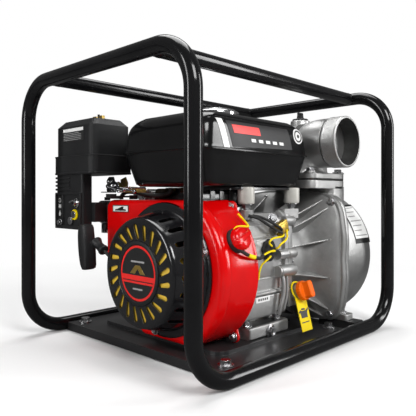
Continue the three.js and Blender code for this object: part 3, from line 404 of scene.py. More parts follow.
# ---- frame tubes ----------------------------------------------------------------------------
TUBE_R = 11.1
HALF_L, HALF_W, TOP = 242.2, 199.0, 417.6
BEND_R = 62.0
RAIL_Y = 124.0


def hoop(name, side, node):
    x = side * HALF_L
    along, back = (side, 0, 0), (-side, 0, 0)
    up, down, left = (0, 0, 1), (0, 0, -1), (0, 1, 0)
    points = [(side * 0.15, -HALF_W, TUBE_R), (side * 80, -HALF_W, TUBE_R)]
    points += bend_points((x, -HALF_W, TUBE_R), along, up, BEND_R)
    points += bend_points((x, -HALF_W, TOP), up, left, BEND_R)
    points += bend_points((x, HALF_W, TOP), left, down, BEND_R)
    points += bend_points((x, HALF_W, TUBE_R), down, back, BEND_R)
    points += [(side * 80, HALF_W, TUBE_R), (side * 0.15, HALF_W, TUBE_R)]
    bm = bmesh.new()
    tube(bm, points, TUBE_R, 36)
    made(name, bm, GLOSS_BLACK, stands_for=(node,), slot="gloss_black")


hoop("front_hoop_tube", -1, "frame_front_hoop")
hoop("rear_hoop_tube", 1, "frame_rear_hoop")
for name, node, y in (("left_rail_tube", "top_rail_left", RAIL_Y),
                      ("right_rail_tube", "top_rail_right", -RAIL_Y)):
    bm = bmesh.new()
    end = HALF_L - TUBE_R * 0.3
    turn(bm, (-end, y, TOP), (1, 0, 0), [(0, TUBE_R - 0.4), (2 * end, TUBE_R - 0.4)], 36)
    made(name, bm, GLOSS_BLACK, stands_for=(node,), slot="gloss_black")

# ---- fuel tank ------------------------------------------------------------------------------
TANK_X, TANK_Y = (-163, 90), (-134, 51)
TANK_Z0, SEAM_Z, TANK_Z1 = 248, 300, 355


def tank_ring(z, grow=0.0):
    low = max(0.0, (SEAM_Z - z) / (SEAM_Z - TANK_Z0))
    high = max(0.0, (z - SEAM_Z) / (TANK_Z1 - SEAM_Z))
    dx = 16 * low + 5 * high + 17 * high ** 6 - grow
    dy = 9 * low + 4 * high + 15 * high ** 6 - grow
    radius = 19 + 8 * high ** 3
    outline = rounded(TANK_X[0] + dx, TANK_X[1] - dx, TANK_Y[0] + dy, TANK_Y[1] - dy, radius, 10)
    return [(x, y, z) for x, y in outline]


bm = bmesh.new()
MIDDLE_X, MIDDLE_Y = -36.5, -41.5  # middle of the tank
rings = [[(MIDDLE_X + (x - MIDDLE_X) * 0.9, MIDDLE_Y + (y - MIDDLE_Y) * 0.88, TANK_Z0 + 0.3)
          for x, y, _ in tank_ring(TANK_Z0 + 4)]]
rings += [tank_ring(TANK_Z0 + 1.2, -3.5), tank_ring(TANK_Z0 + 4)]
rings += [tank_ring(TANK_Z0 + 4 + k * 7.6) for k in range(1, 6)]
rings += [tank_ring(SEAM_Z - 3), tank_ring(SEAM_Z - 1.4, 0.4), tank_ring(SEAM_Z - 1.2, 2.0),
          tank_ring(SEAM_Z + 0.9, 2.0), tank_ring(SEAM_Z + 1.2, 0.6), tank_ring(SEAM_Z + 3)]
for k in range(1, 17):
    rings.append(tank_ring(SEAM_Z + 3 + (TANK_Z1 - SEAM_Z - 4.2) * k / 16))
crown = rings[-1]
for k in range(1, 7):
    t = k / 7
    rise = 3.4 * math.sin(math.pi / 2 * t)
    rings.append([(MIDDLE_X + (x - MIDDLE_X) * (1 - t * 0.72),
                   MIDDLE_Y + (y - MIDDLE_Y) * (1 - t * 0.72), z + rise)
                  for x, y, z in crown])
add_rings(bm, rings)
made("tank_shell", bm, TANK_BLACK, stands_for=("fuel_tank",), crease=50)

# filler neck ring and cap
CAP = (-68, -64)
bm = bmesh.new()
cap_profile = [(0.6, 37.0), (0.9, 37.8), (5.8, 38.0), (7.4, 37.4), (8.6, 35.8), (9.2, 33.5),
               (11.6, 31.0), (12.4, 28.0), (12.7, 22), (11.4, 19.5), (11.3, 16), (12.9, 13.5),
               (13.6, 8), (13.9, 2)]
turn(bm, (CAP[0], CAP[1], TANK_Z1), (0, 0, 1), cap_profile, 72)
made("tank_cap_shell", bm, CHROME, "tank_cap", ("fuel_cap",))

# ---- decals of the tank ----------------------------------------------------------------------
def on_tank(x, z, lift):
    """Point on the tank's -Y side, lifted off it; it follows the rounded corners."""
    high = max(0.0, (z - SEAM_Z) / (TANK_Z1 - SEAM_Z))
    y = TANK_Y[0] + 4 * high + 15 * high ** 6
    dx = 5 * high + 17 * high ** 6
    radius = 19 + 8 * high ** 3
    past = max(x - (TANK_X[1] - dx - radius), TANK_X[0] + dx + radius - x, 0.0)
    past = min(past, radius * 0.98)
    drop = radius - math.sqrt(radius * radius - past * past)
    return (x, y + drop - lift, z)


def decal(name, outline, place, material, lift, body=SET):
    """Thin sticker with a filled outline."""
    bm = bmesh.new()
    low = [bm.verts.new(place(u, v, lift - 0.25)) for u, v in outline]
    high = [bm.verts.new(place(u, v, lift)) for u, v in outline]
    count = len(outline)
    for i in range(count):
        j = (i + 1) % count
        bm.faces.new((low[i], low[j], high[j], high[i]))
    bm.faces.new(high)
    bm.faces.new(low)
    bmesh.ops.triangulate(bm, faces=[f for f in bm.faces if len(f.verts) > 4])
    return made(name, bm, material, body, crease=60, slot=None)


def patch(name, corners, place, material, lift, steps=12):
    """Four-cornered sticker skinned as a grid, so that it bends with the surface."""
    a, b, c, d = [Vector(p) for p in corners]
    bm = bmesh.new()
    layers = []
    for layer in (lift - 0.3, lift):
        grid = []
        for i in range(steps + 1):
            left, right = a.lerp(d, i / steps), b.lerp(c, i / steps)
            row = []
            for k in range(steps + 1):
                p = left.lerp(right, k / steps)
                row.append(bm.verts.new(place(p.x, p.y, layer)))
            grid.append(row)
        layers.append(grid)
    for grid in layers:
        for i in range(steps):
            for k in range(steps):
                bm.faces.new((grid[i][k], grid[i][k + 1], grid[i + 1][k + 1], grid[i + 1][k]))
    low, high = layers
    for k in range(steps):
        bm.faces.new((low[0][k], low[0][k + 1], high[0][k + 1], high[0][k]))
        bm.faces.new((low[-1][k], low[-1][k + 1], high[-1][k + 1], high[-1][k]))
        bm.faces.new((low[k][0], low[k + 1][0], high[k + 1][0], high[k][0]))
        bm.faces.new((low[k][-1], low[k + 1][-1], high[k + 1][-1], high[k][-1]))
    return made(name, bm, material, crease=60, slot=None)


patch("tank_decal_panel", [(-114, 341), (32, 341), (40, 308), (-103, 304)], on_tank, LABEL_GREY, 0.5)
patch("tank_stripe", [(-133, 342.5), (-121, 342.5), (-109.5, 302), (-121.5, 302)], on_tank, WHITE,
      0.5)
patch("tank_decal_bar", [(-103, 336), (-42, 336), (-39, 324), (-99, 324)], on_tank, LABEL_RED, 0.8)
for k in range(5):
    left = -62 + k * 17
    patch(f"tank_decal_line_{k}", [(left, 318), (left + 10, 318), (left + 11, 313.4), (left + 1, 313.4)],
          on_tank, WHITE, 0.8, steps=3)


def arc_band(cx, cz, r0, r1, start, end, steps=18):
    outer = [(cx + r1 * math.cos(math.radians(start + (end - start) * k / steps)),
              cz + r1 * math.sin(math.radians(start + (end - start) * k / steps)))
             for k in range(steps + 1)]
    inner = [(cx + r0 * math.cos(math.radians(end + (start - end) * k / steps)),
              cz + r0 * math.sin(math.radians(end + (start - end) * k / steps)))
             for k in range(steps + 1)]
    return outer + inner


def round_sticker(name, centre, radii, place, material, lift):
    """Disc or ring between two radii, skinned ring by ring so that it bends with the surface."""
    inner, outer = radii
    steps = 6
    bm = bmesh.new()
    rings = []
    for layer, order in ((lift - 0.3, range(steps + 1)), (lift, range(steps, -1, -1))):
        for i in order:
            r = inner + (outer - inner) * i / steps
            rings.append([place(centre[0] + r * math.cos(a), centre[1] + r * math.sin(a), layer)
                          for a in angles(48)])
    add_rings(bm, rings, loop=True)
    return made(name, bm, material, crease=60, slot=None)


STICKER = (58.0, 331.5)
round_sticker("tank_round_sticker", STICKER, (0.2, 12.6), on_tank, WHITE, 0.9)
round_sticker("tank_sticker_ring", STICKER, (7.6, 10.0), on_tank, LABEL_BLACK, 1.3)
round_sticker("tank_sticker_dot", STICKER, (0.2, 3.0), on_tank, LABEL_BLACK, 1.3)

# ---- fan cover --------------------------------------------------------------------------------
AXIS_Y, AXIS_Z = -50, 127


def blower_outline():
    """Outline about the crank axis as (y, z) points, the same as the CAD cover's."""
    top, bottom, left, radius = 101, -104, 150, 116
    top_angle = math.pi - math.asin(top / radius)
    rise = math.pi * 1.8
    points = []
    for k in range(60):
        a = top_angle + (math.pi + math.asin(-bottom / radius) - top_angle) * k / 59
        points.append((radius * math.cos(a), radius * math.sin(a)))
    first = 3 * math.pi - (math.pi + math.asin(-bottom / radius))
    for k in range(24):
        a = first + (rise - first) * k / 23
        points.append((radius * math.cos(a), radius * math.sin(a)))
    for k in range(1, 12):
        points.append((points[83][0] + (left - points[83][0]) * k / 12,
                       points[83][1] + (6 - points[83][1]) * k / 12))
    for k in range(12):
        points.append((left, 6 + (top - 14 - 6) * k / 12))
    for k in range(13):
        a = math.pi / 2 * k / 12
        points.append((left - 14 + 14 * math.cos(a), top - 14 + 14 * math.sin(a)))
    for k in range(1, 30):
        points.append((left - 14 + (points[0][0] - left + 14) * k / 30, top))
    return points


OUTLINE = blower_outline()


def blower_ring(x, inset):
    ring = []
    count = len(OUTLINE)
    for i, (y, z) in enumerate(OUTLINE):
        before = Vector(OUTLINE[i - 2])
        after = Vector(OUTLINE[(i + 2) % count])
        t = (after - before).normalized()
        ring.append((x, AXIS_Y + y - t.y * inset, AXIS_Z + z + t.x * inset))
    return ring


def mouth_ring(x, radius):
    ring = []
    for y, z in OUTLINE:
        a = math.atan2(z, y)
        ring.append((x, AXIS_Y + radius * math.cos(a), AXIS_Z + radius * math.sin(a)))
    return ring


bm = bmesh.new()
rings = [mouth_ring(-155.8, 82), mouth_ring(-158, 82), mouth_ring(-158, 98), blower_ring(-158, 9),
         blower_ring(-157.6, 6.2), blower_ring(-156.2, 3.6), blower_ring(-154, 1.7),
         blower_ring(-151.5, 0.6), blower_ring(-148.5, 0.1), blower_ring(-143, 0),
         blower_ring(-141, 0.2), blower_ring(-140, 1.0), blower_ring(-139, 1.2),
         blower_ring(-120, 1.0), blower_ring(-100, 0.7), blower_ring(-92, 0.5),
         blower_ring(-90, 0.2), blower_ring(-89, 0), blower_ring(-85.2, 0), blower_ring(-85, 0.4),
         blower_ring(-85, 2.0), blower_ring(-90, 2.4), blower_ring(-150, 3.4),
         blower_ring(-155.8, 8), mouth_ring(-155.8, 95)]
add_rings(bm, rings, loop=True)
made("fan_cover_shell", bm, RED, stands_for=("fan_cover",), crease=40)

bm = bmesh.new()
for ear_y, ear_z, ear_r in ((-66, 90, 11), (-72, -97, 10)):
    away = Vector((0, ear_y, ear_z)).normalized()
    centre = Vector((0, AXIS_Y + ear_y, AXIS_Z + ear_z))
    side = away.cross(Vector((1, 0, 0)))
    outline = []
    for k in range(25):
        a = -math.pi / 2 + math.pi * k / 24
        outline.append(away * (ear_r - 1) * math.cos(a) + side * (ear_r - 1) * math.sin(a))
    outline += [away * -14 + side * (ear_r + 5), away * -14 - side * (ear_r + 5)]
    rings = []
    for x, scale in ((-89, 0.9), (-88.6, 0.97), (-87.8, 1), (-85, 1)):
        rings.append([centre + Vector((x, 0, 0)) + p * scale for p in outline])
    add_rings(bm, rings)
made("fan_cover_ears", bm, RED, crease=30)
bm = bmesh.new()
for ear_y, ear_z, _ in ((-66, 90, 11), (-72, -97, 10)):
    bolt(bm, (-89, AXIS_Y + ear_y, AXIS_Z + ear_z), (-1, 0, 0), 5.2, 5.5, 7.6)
made("fan_cover_bolts", bm, MACHINED)

# ---- hand starter -----------------------------------------------------------------------------
AXIS = (0, AXIS_Y, AXIS_Z)


def subtract(piece, bm):
    """Cuts a bmesh in millimetres out of a piece."""
    tool = linked("cut", bm)
    change = piece.modifiers.new("cut", "BOOLEAN")
    change.object = tool
    change.solver = "EXACT"
    graph = bpy.context.evaluated_depsgraph_get()
    result = bpy.data.meshes.new_from_object(piece.evaluated_get(graph))
    piece.modifiers.remove(change)
    material = piece.data.materials[0]
    piece.data = result
    result.materials.clear()
    result.materials.append(material)
    bpy.data.objects.remove(tool)
    smooth(result, 35)


def capsule(length, half, taper=1.0, steps=8):
    """Rounded slot outline along u, from 0 to length; taper scales the far end's width."""
    points = []
    for k in range(steps + 1):
        a = -math.pi / 2 + math.pi * k / steps
        points.append((length - half * taper + half * taper * math.cos(a),
                       half * taper * math.sin(a)))
    for k in range(steps + 1):
        a = math.pi / 2 + math.pi * k / steps
        points.append((half + half * math.cos(a), half * math.sin(a)))
    return points


bm = bmesh.new()
shell = [(-207 + 1.2, 0.0), (-205.8, 41.5), (-205.6, 44.0), (-206.6, 45.2), (-207, 47.0),
         (-207, 70.5), (-206.6, 73.2), (-205.4, 75.4), (-203.2, 76.8), (-200, 77.6), (-190, 80.6),
         (-176, 83.6), (-164.6, 85.6), (-162.6, 87.0), (-161.7, 89.5), (-161.4, 92), (-161.2, 96),
         (-160.6, 97), (-158.4, 97), (-158.4, 83), (-166, 81.6), (-190, 77.8), (-201, 74.2),
         (-203.9, 71.0), (-204.4, 66), (-204.4, 0.0)]
shell = [p for p in shell if p[1] > 0]
turn(bm, AXIS, (1, 0, 0), shell, 120)
housing = made("starter_cover", bm, STARTER_BLACK, stands_for=("recoil_housing",))


def radial(angle, skew=0.0):
    """Place function on the face: u runs outward, v sideways, w along X."""
    ca, sa = math.cos(angle), math.sin(angle)
    cs, ss = math.cos(angle + skew), math.sin(angle + skew)

    def place(u, v, w):
        y = 47.0 * ca + u * cs - v * ss
        z = 47.0 * sa + u * ss + v * cs
        return (w, AXIS_Y + y, AXIS_Z + z)
    return place


FACE_SLOTS = 21
SLOT_SKEW = math.radians(-24)
bm = bmesh.new()
for k in range(FACE_SLOTS):
    plate(bm, capsule(22.5, 2.5, 1.45), radial(math.tau * (k + 0.35) / FACE_SLOTS, SLOT_SKEW),
           -210, -201)
subtract(housing, bm)


def barrel(angle):
    """Place function on the starter's wall: u runs along X, v around, w outward."""
    def place(u, v, w):
        a = angle + v / 80
        return (u, AXIS_Y + w * math.cos(a), AXIS_Z + w * math.sin(a))
    return place


bm = bmesh.new()
WALL_SLOTS = 22
for k in range(WALL_SLOTS):
    angle = math.tau * k / WALL_SLOTS
    if abs(math.degrees(angle) % 360 - 27) < 20:
        continue
    outline = [(-196 + u, v) for u, v in capsule(25, 3.8)]
    plate(bm, outline, barrel(angle), 70, 92)
subtract(housing, bm)

# the reel's brass-coloured front plate shows through the slots; its yellow is painted brighter and less
# metallic than the zinc finish, a painted light in the shaded cavity
bm = bmesh.new()
turn(bm, AXIS, (1, 0, 0), [(-199.6, 12), (-199.6, 40), (-203.8, 44), (-203.8, 66), (-203.0, 68),
                           (-198, 68.5), (-196, 64.5), (-193.5, 64), (-193, 54), (-187, 54),
                           (-186.5, 64), (-180, 64.5), (-178.2, 64), (-178.2, 12)], 96, loop=True)
made("reel_plate", bm, REEL_GOLD_PAINTED_BRIGHT, "starter_reel", ("recoil_reel",))

# spokes are what stays between the slots; a raised hub ring carries the badge
bm = bmesh.new()
turn(bm, AXIS, (1, 0, 0), [(-205, 38.8), (-207.3, 39.0), (-208.2, 40.0), (-208.2, 43.2),
                           (-207.4, 44.6), (-205, 45.2)], 96, loop=True)
made("badge_rim", bm, SATIN_BLACK)

BADGE_X = -206.0


def on_badge(u, v, lift):
    return (BADGE_X - lift, AXIS_Y - u, AXIS_Z + v)


def disc_points(radius, count=72):
    return [(radius * math.cos(a), radius * math.sin(a)) for a in angles(count)]


def segment(radius, v0, v1, steps=24):
    """Part of a disc between two heights."""
    a0, a1 = math.asin(v0 / radius), math.asin(v1 / radius)
    swept = [a0 + (a1 - a0) * k / steps for k in range(steps + 1)]
    right = [(radius * math.cos(a), radius * math.sin(a)) for a in swept]
    return right + [(-u, v) for u, v in reversed(right)]


decal("badge_red", disc_points(38.6), on_badge, LABEL_RED, 0.6)
decal("badge_top", segment(35.2, -3.0, 35.19), on_badge, LABEL_BLACK, 0.9)
decal("badge_low", segment(35.2, -35.19, -14.5), on_badge, LABEL_BLACK, 0.9)
decal("badge_rule", segment(35.2, -11.4, -10.2), on_badge, LABEL_BLACK, 0.9)
for k, (v, half) in enumerate(((16, 15), (-22, 11))):
    outline = rounded(-half, half, v - 1.2, v + 1.2, 1.1, 4)
    decal(f"badge_bar_{k}", outline, on_badge, LABEL_LINE, 1.1)
decal("badge_chevron", [(-17, -1), (-6, -1), (0, 6), (6, -1), (17, -1), (5, 11), (-5, 11)], on_badge,
      ZINC, 1.1)

# ---- discharge elbow ---------------------------------------------------------------------------
THREAD_CREST, THREAD_ROOT = 43.95, 42.9


def thread_grooves(start, count, pitch):
    """Profile of parallel grooves as (along, radius) points."""
    points = []
    for k in range(count):
        along = start + k * pitch
        points += [(along, THREAD_CREST), (along + 0.7, THREAD_ROOT), (along + 1.5, THREAD_ROOT),
                   (along + 2.1, THREAD_CREST)]
    return points


EX, EY = 140, -86
ELBOW_Z, FACE_Y = 326, -177
bm = bmesh.new()
path = [(EX, EY, 272), (EX, EY, 282)]
path += bend_points((EX, EY, ELBOW_Z), (0, 0, 1), (0, -1, 0), 42, 20)
path += [(EX, EY - 46, ELBOW_Z), (EX, FACE_Y + 30, ELBOW_Z)]
tube(bm, path, 42.8, 64)
made("elbow_body", bm, ALUMINIUM, stands_for=("discharge_elbow",), crease=40)
bm = bmesh.new()
ring = [(-28, 39.8), (-28, 43.0), (-27, 43.8), (-25, 43.95)]
ring += thread_grooves(-24, 9, 2.3)
ring += [(-2.0, 43.9), (-0.6, 43.3), (0, 42.2), (0, 40.2), (-0.8, 39.6), (-28, 39.4)]
turn(bm, (EX, FACE_Y, ELBOW_Z), (0, -1, 0), ring, 96, loop=True)
made("elbow_thread", bm, ALUMINIUM, crease=25)
# the bore is aluminium painted near-black, a painted shade in the hollow
bm = bmesh.new()
turn(bm, (EX, FACE_Y, ELBOW_Z), (0, -1, 0),
     [(0, 39.5), (-2, 39.5), (-90, 38.5), (-96, 20), (-97, 2)], 64, caps=False)
made("elbow_bore", bm, PORT_BORE_PAINTED_SHADE, crease=60)

# flange, neck collar, bolts and filling boss of the elbow
bm = bmesh.new()
flat = lambda u, v, w: (u, v, w)
plate(bm, rounded(EX - 55, EX + 56, EY - 57, EY + 57, 16, 10), flat, 264.3, 273.6, 1.8)
turn(bm, (EX, EY, 272), (0, 0, 1), [(0, 47), (1.5, 45.5), (3.5, 44), (6, 43.2), (8, 42.9)], 64)
for dx, dy in ((-45, -45), (45, -45), (-45, 45), (45, 45)):
    turn(bm, (EX + dx, EY + dy, 273), (0, 0, 1), [(0, 11), (1.6, 11), (2.2, 10.4)], 32)
made("elbow_flange", bm, ALUMINIUM)
bm = bmesh.new()
turn(bm, (EX, EY + 6, 350), (0, 0, 1), [(0, 24), (8, 20), (12, 18), (19.2, 17.2), (20, 16.4)], 48)
made("elbow_boss", bm, ALUMINIUM)
bm = bmesh.new()
for dx, dy in ((-45, -45), (45, -45), (-45, 45), (45, 45)):
    bolt(bm, (EX + dx, EY + dy, 275.2), (0, 0, 1), 7.2, 6.5, 9.5)
made("elbow_bolts", bm, MACHINED)
bm = bmesh.new()
turn(bm, (EX, EY + 6, 370.3), (0, 0, 1), [(-16, 10.4), (-0.1, 10.4), (0, 13.6), (0.8, 14.2),
     (2.6, 14.2), (3.4, 13.2), (4.2, 7.4), (6, 6.2), (10, 5.6), (13, 5.4), (14.6, 4.2)], 48)
plate(bm, rounded(EX - 8, EX + 8, EY + 4, EY + 8, 1.9, 5), flat, 374, 385.6, 1.4)
made("fill_plug_cap", bm, SATIN_BLACK, "priming_plug", ("fill_plug",))

# ---- pump cover and casing ---------------------------------------------------------------------
PUMP_Y = AXIS_Y - 6
SUCTION_Z = 172
FLANGE_STEPS = 240
FLOOR_CUT = 20.4


def squircle(x, half, share=1.0, radius=100.0, wave=0.0):
    """Ring between a circle (share 0) and the flange outline (share 1)."""
    ring = []
    for k in range(FLANGE_STEPS):
        a = math.tau * k / FLANGE_STEPS
        c, s_ = math.cos(a), math.sin(a)
        y = half * math.copysign(abs(c) ** (2 / 4.5), c)
        z = half * math.copysign(abs(s_) ** (2 / 4.5), s_)
        phi = math.atan2(z, y)
        ripple = 1 - wave * (0.5 + 0.5 * math.cos(12 * phi))
        cy = AXIS_Y + radius * math.cos(phi)
        fy = PUMP_Y + y * ripple
        cz, fz = radius * math.sin(phi), z * ripple
        height = AXIS_Z + cz + (fz - cz) * share
        ring.append((x, cy + (fy - cy) * share, max(height, FLOOR_CUT)))
    return ring


bm = bmesh.new()
rings = [squircle(44.6, 100, 0, 60), squircle(44.6, 100, 0, 70.5), squircle(45.4, 100, 0, 71.8),
         squircle(48, 100, 0, 72), squircle(70, 100, 0, 73), squircle(84, 100, 0, 74.5),
         squircle(94, 100, 0, 77.5), squircle(101, 102, 0.1, 82), squircle(107, 104, 0.25, 88),
         squircle(113, 106, 0.48, 95), squircle(118.5, 108.5, 0.72, 101),
         squircle(123, 110.5, 0.9, 105), squircle(126.5, 112, 1), squircle(129.4, 112.6, 1),
         squircle(130.2, 113.2, 1), squircle(130.6, 116.3, 1, 100, 0.012),
         squircle(131.6, 117.6, 1, 100, 0.014), squircle(133.5, 118, 1, 100, 0.014),
         squircle(139.6, 118, 1, 100, 0.014), squircle(141.2, 117.5, 1, 100, 0.014),
         squircle(141.7, 116.6, 1, 100, 0.014), squircle(141.7, 100, 0, 100),
         squircle(126, 100, 0, 98), squircle(104, 100, 0, 68), squircle(60, 100, 0, 60)]
add_rings(bm, rings, loop=True)
# the bell takes the darker copy of the casting, a painted shade
made("pump_cover_shell", bm, BELL_CAST_PAINTED_SHADE, stands_for=("pump_cover",), crease=38)

# radial ribs: pairs on the diagonals and single ones beside the level lines
RIB = [(50, 70), (56, 78), (70, 85), (100, 104), (122, 119), (129.8, 123.5), (130.5, 96), (98, 68)]


def rib(bm, angle, offset, half=1.3, stretch=1.0):
    direction = Vector((0, math.cos(angle), math.sin(angle)))
    side = Vector((0, -math.sin(angle), math.cos(angle)))
    rings = []
    for v, shrink in ((-half, 0.8), (-half * 0.6, 0), (half * 0.6, 0), (half, 0.8)):
        ring = []
        for x, r in RIB:
            reach = 72 + (r - shrink - 72) * stretch
            ring.append(Vector((x, AXIS_Y, AXIS_Z)) + direction * reach + side * (offset + v))
        rings.append(ring)
    add_rings(bm, rings)


bm = bmesh.new()
for quarter in range(4):
    diagonal = math.radians(45 + 90 * quarter)
    rib(bm, diagonal, -9, 1.3, 1.28)
    rib(bm, diagonal, 9, 1.3, 1.28)
    level = math.radians(90 * quarter)
    rib(bm, level - math.radians(17.5), 0, 1.2, 0.87)
    rib(bm, level + math.radians(17.5), 0, 1.2, 0.87)
made("pump_cover_ribs", bm, ALUMINIUM, crease=30)
bm = bmesh.new()
for quarter in range(4):
    for lean in (-17.5, 17.5):
        a = math.radians(90 * quarter + lean)
        at = (117, AXIS_Y + 109 * math.cos(a), AXIS_Z + 109 * math.sin(a))
        turn(bm, at, (1, 0, 0), [(0, 3.4), (0.6, 4.2), (13, 5.0)], 24)
made("pump_cover_bosses", bm, ALUMINIUM, crease=30)
bm = bmesh.new()
for quarter in range(4):
    a = math.radians(45 + 90 * quarter)
    reach = 138 if quarter < 2 else 133
    y, z = PUMP_Y + reach * math.cos(a) * 1.0, AXIS_Z + reach * math.sin(a) * 1.0
    bolt(bm, (126.6, y, max(z, 33)), (-1, 0, 0), 5.4, 5.5, 7.4)
made("pump_cover_bolts", bm, MACHINED)

bm = bmesh.new()
rings = [squircle(142.3, 100, 0, 90), squircle(142.3, 116.8, 1, 100, 0.014),
         squircle(142.9, 117.7, 1, 100, 0.014), squircle(144.2, 118, 1, 100, 0.014),
         squircle(150, 118, 1, 100, 0.014), squircle(151.4, 117.4, 1, 100, 0.014),
         squircle(152, 116.2, 1, 100, 0.014), squircle(152, 108, 0.9, 106),
         squircle(152, 100, 0.2, 90)]
add_rings(bm, rings, loop=True)
made("pump_casing_flange", bm, ALUMINIUM, stands_for=("pump_casing",), crease=38)
bm = bmesh.new()
turn(bm, (0, PUMP_Y, AXIS_Z), (1, 0, 0), [(151, 106), (151.6, 111.4), (154, 112.2), (172, 115),
     (200, 116.8), (222, 118), (226.5, 117.4), (229.6, 115.4), (231.4, 112.4), (232, 108),
     (232, 98), (226.2, 98), (226.2, 104), (222, 107), (172, 104), (151, 100)], 160, loop=True)
made("pump_casing_drum", bm, ALUMINIUM, crease=38)
bm = bmesh.new()
turn(bm, (226, PUMP_Y, AXIS_Z), (1, 0, 0), [(0, 98.6), (4.6, 98.6), (5.2, 98), (5.2, 90), (4.4, 89)], 96)
drum_end = made("pump_casing_end", bm, ALUMINIUM, crease=38)
bm = bmesh.new()
turn(bm, (220, PUMP_Y, SUCTION_Z), (1, 0, 0), [(0, 39.5), (16, 39.5)], 64)
subtract(drum_end, bm)
bm = bmesh.new()
plate(bm, rounded(142.6, EX + 56, EY - 57, EY + 57, 14, 8), flat, 190, 250)
plate(bm, rounded(EX - 56, EX + 56, EY - 57, EY + 57, 16, 10), flat, 247, 261, 1.2)
made("pump_casing_tower", bm, ALUMINIUM, crease=38)
bm = bmesh.new()
for y0, y1 in ((-172, -138), (26, 60)):
    plate(bm, rounded(142.8, 168, y0, y1, 4, 5), flat, 20.3, 30, 1.2)
turn(bm, (231, PUMP_Y, 49), (1, 0, 0), [(0, 15), (2.4, 15), (3, 14)], 32)
made("pump_casing_feet", bm, ALUMINIUM, crease=38)
bm = bmesh.new()
bolt(bm, (233.6, PUMP_Y, 49), (1, 0, 0), 10.5, 7, 12.5)
for y in (-155, 43):
    bolt(bm, (157, y, 30.2), (0, 0, 1), 6.5, 6, 9)
made("pump_casing_bolts", bm, MACHINED)

# label on the drum
def on_drum(u, v, lift):
    """u along X, v in degrees round the drum."""
    a = math.radians(v)
    r = 115 + 3.0 * (u - 172) / 50 + lift
    return (u, PUMP_Y + r * math.cos(a), AXIS_Z + r * math.sin(a))


patch("drum_label_border", [(182, 130), (228, 130), (228, 169), (182, 169)], on_drum,
      LABEL_BLACK, 0.4)
patch("drum_label_white", [(185, 132.4), (225, 132.4), (225, 164.6), (185, 164.6)], on_drum,
      WHITE, 0.7)
for k in range(7):
    v = 134 + k * 4.6
    end = 222 - 6 * (k % 3)
    patch(f"drum_label_line_{k}", [(188, v), (end, v), (end, v + 0.9), (188, v + 0.9)], on_drum,
          LABEL_LINE, 0.95, steps=4)

# suction port
bm = bmesh.new()
port = lambda u, v, w: (w, u, v)
plate(bm, rounded(PUMP_Y - 50, PUMP_Y + 50, 122, 222, 18, 10), port, 232.4, 240.2, 1.4)
made("suction_flange", bm, ALUMINIUM, stands_for=("suction_port",))
hole = bmesh.new()
turn(hole, (230, PUMP_Y, SUCTION_Z), (1, 0, 0), [(0, 39.6), (14, 39.6)], 96)
subtract(bpy.data.objects["suction_flange"], hole)
bm = bmesh.new()
ring = [(239, 39.7), (239, 44.6), (240.6, 44)]
ring += thread_grooves(241.6, 4, 2.5)
ring += [(251.9, 43.6), (252.8, 42.6), (253, 41), (252.4, 39.6)]
turn(bm, (0, PUMP_Y, SUCTION_Z), (1, 0, 0), ring, 96, loop=True)
made("suction_thread", bm, ALUMINIUM, crease=25)
bm = bmesh.new()
for dy in (-41, 41):
    for dz in (-41, 41):
        bolt(bm, (240.4, PUMP_Y + dy, SUCTION_Z + dz), (1, 0, 0), 6.2, 6, 8.4)
made("suction_bolts", bm, MACHINED)

# ---- engine details ------------------------------------------------------------------------------
SWITCH = (-121.0, math.radians(156.5))


def on_switch(along, around_, out):
    """Point on the stop switch: along X, around the fan cover, outward from the crank axis."""
    a = SWITCH[1]
    return Vector((SWITCH[0] + along, AXIS_Y + out * math.cos(a) - around_ * math.sin(a),
                   AXIS_Z + out * math.sin(a) + around_ * math.cos(a)))


switch_axis = (0, math.cos(SWITCH[1]), math.sin(SWITCH[1]))
bm = bmesh.new()
turn(bm, on_switch(0, 0, 113.5), switch_axis, [(0, 17.2), (3.4, 17.2), (4.6, 16.8), (6.4, 16.4),
     (7.2, 15.6), (7.2, 13)], 64)
made("switch_ring", bm, RUBBER, stands_for=("switch_base",), slot="black_plastic")
bm = bmesh.new()
turn(bm, on_switch(0, 0, 121.0), switch_axis, [(0, 15.6), (1.4, 16.2), (5.5, 15.9), (8.0, 15.0),
     (9.8, 13.2), (10.8, 10), (11.2, 4)], 64)
lever_turn = math.radians(155)
outline = [(u * math.cos(lever_turn) - v * math.sin(lever_turn),
            u * math.sin(lever_turn) + v * math.cos(lever_turn))
           for u, v in [(-12, -3.2), (9, -3.6), (19, -4.2), (20.5, -2.4), (20.5, 2.4), (19, 4.2),
                        (9, 3.6), (-12, 3.2), (-13.4, 1.8), (-13.4, -1.8)]]
plate(bm, outline, lambda u, v, w: on_switch(u, v, w), 125.0, 135.5, 1.4)
made("switch_knob", bm, RED, "stop_knob", ("stop_switch",), crease=40)

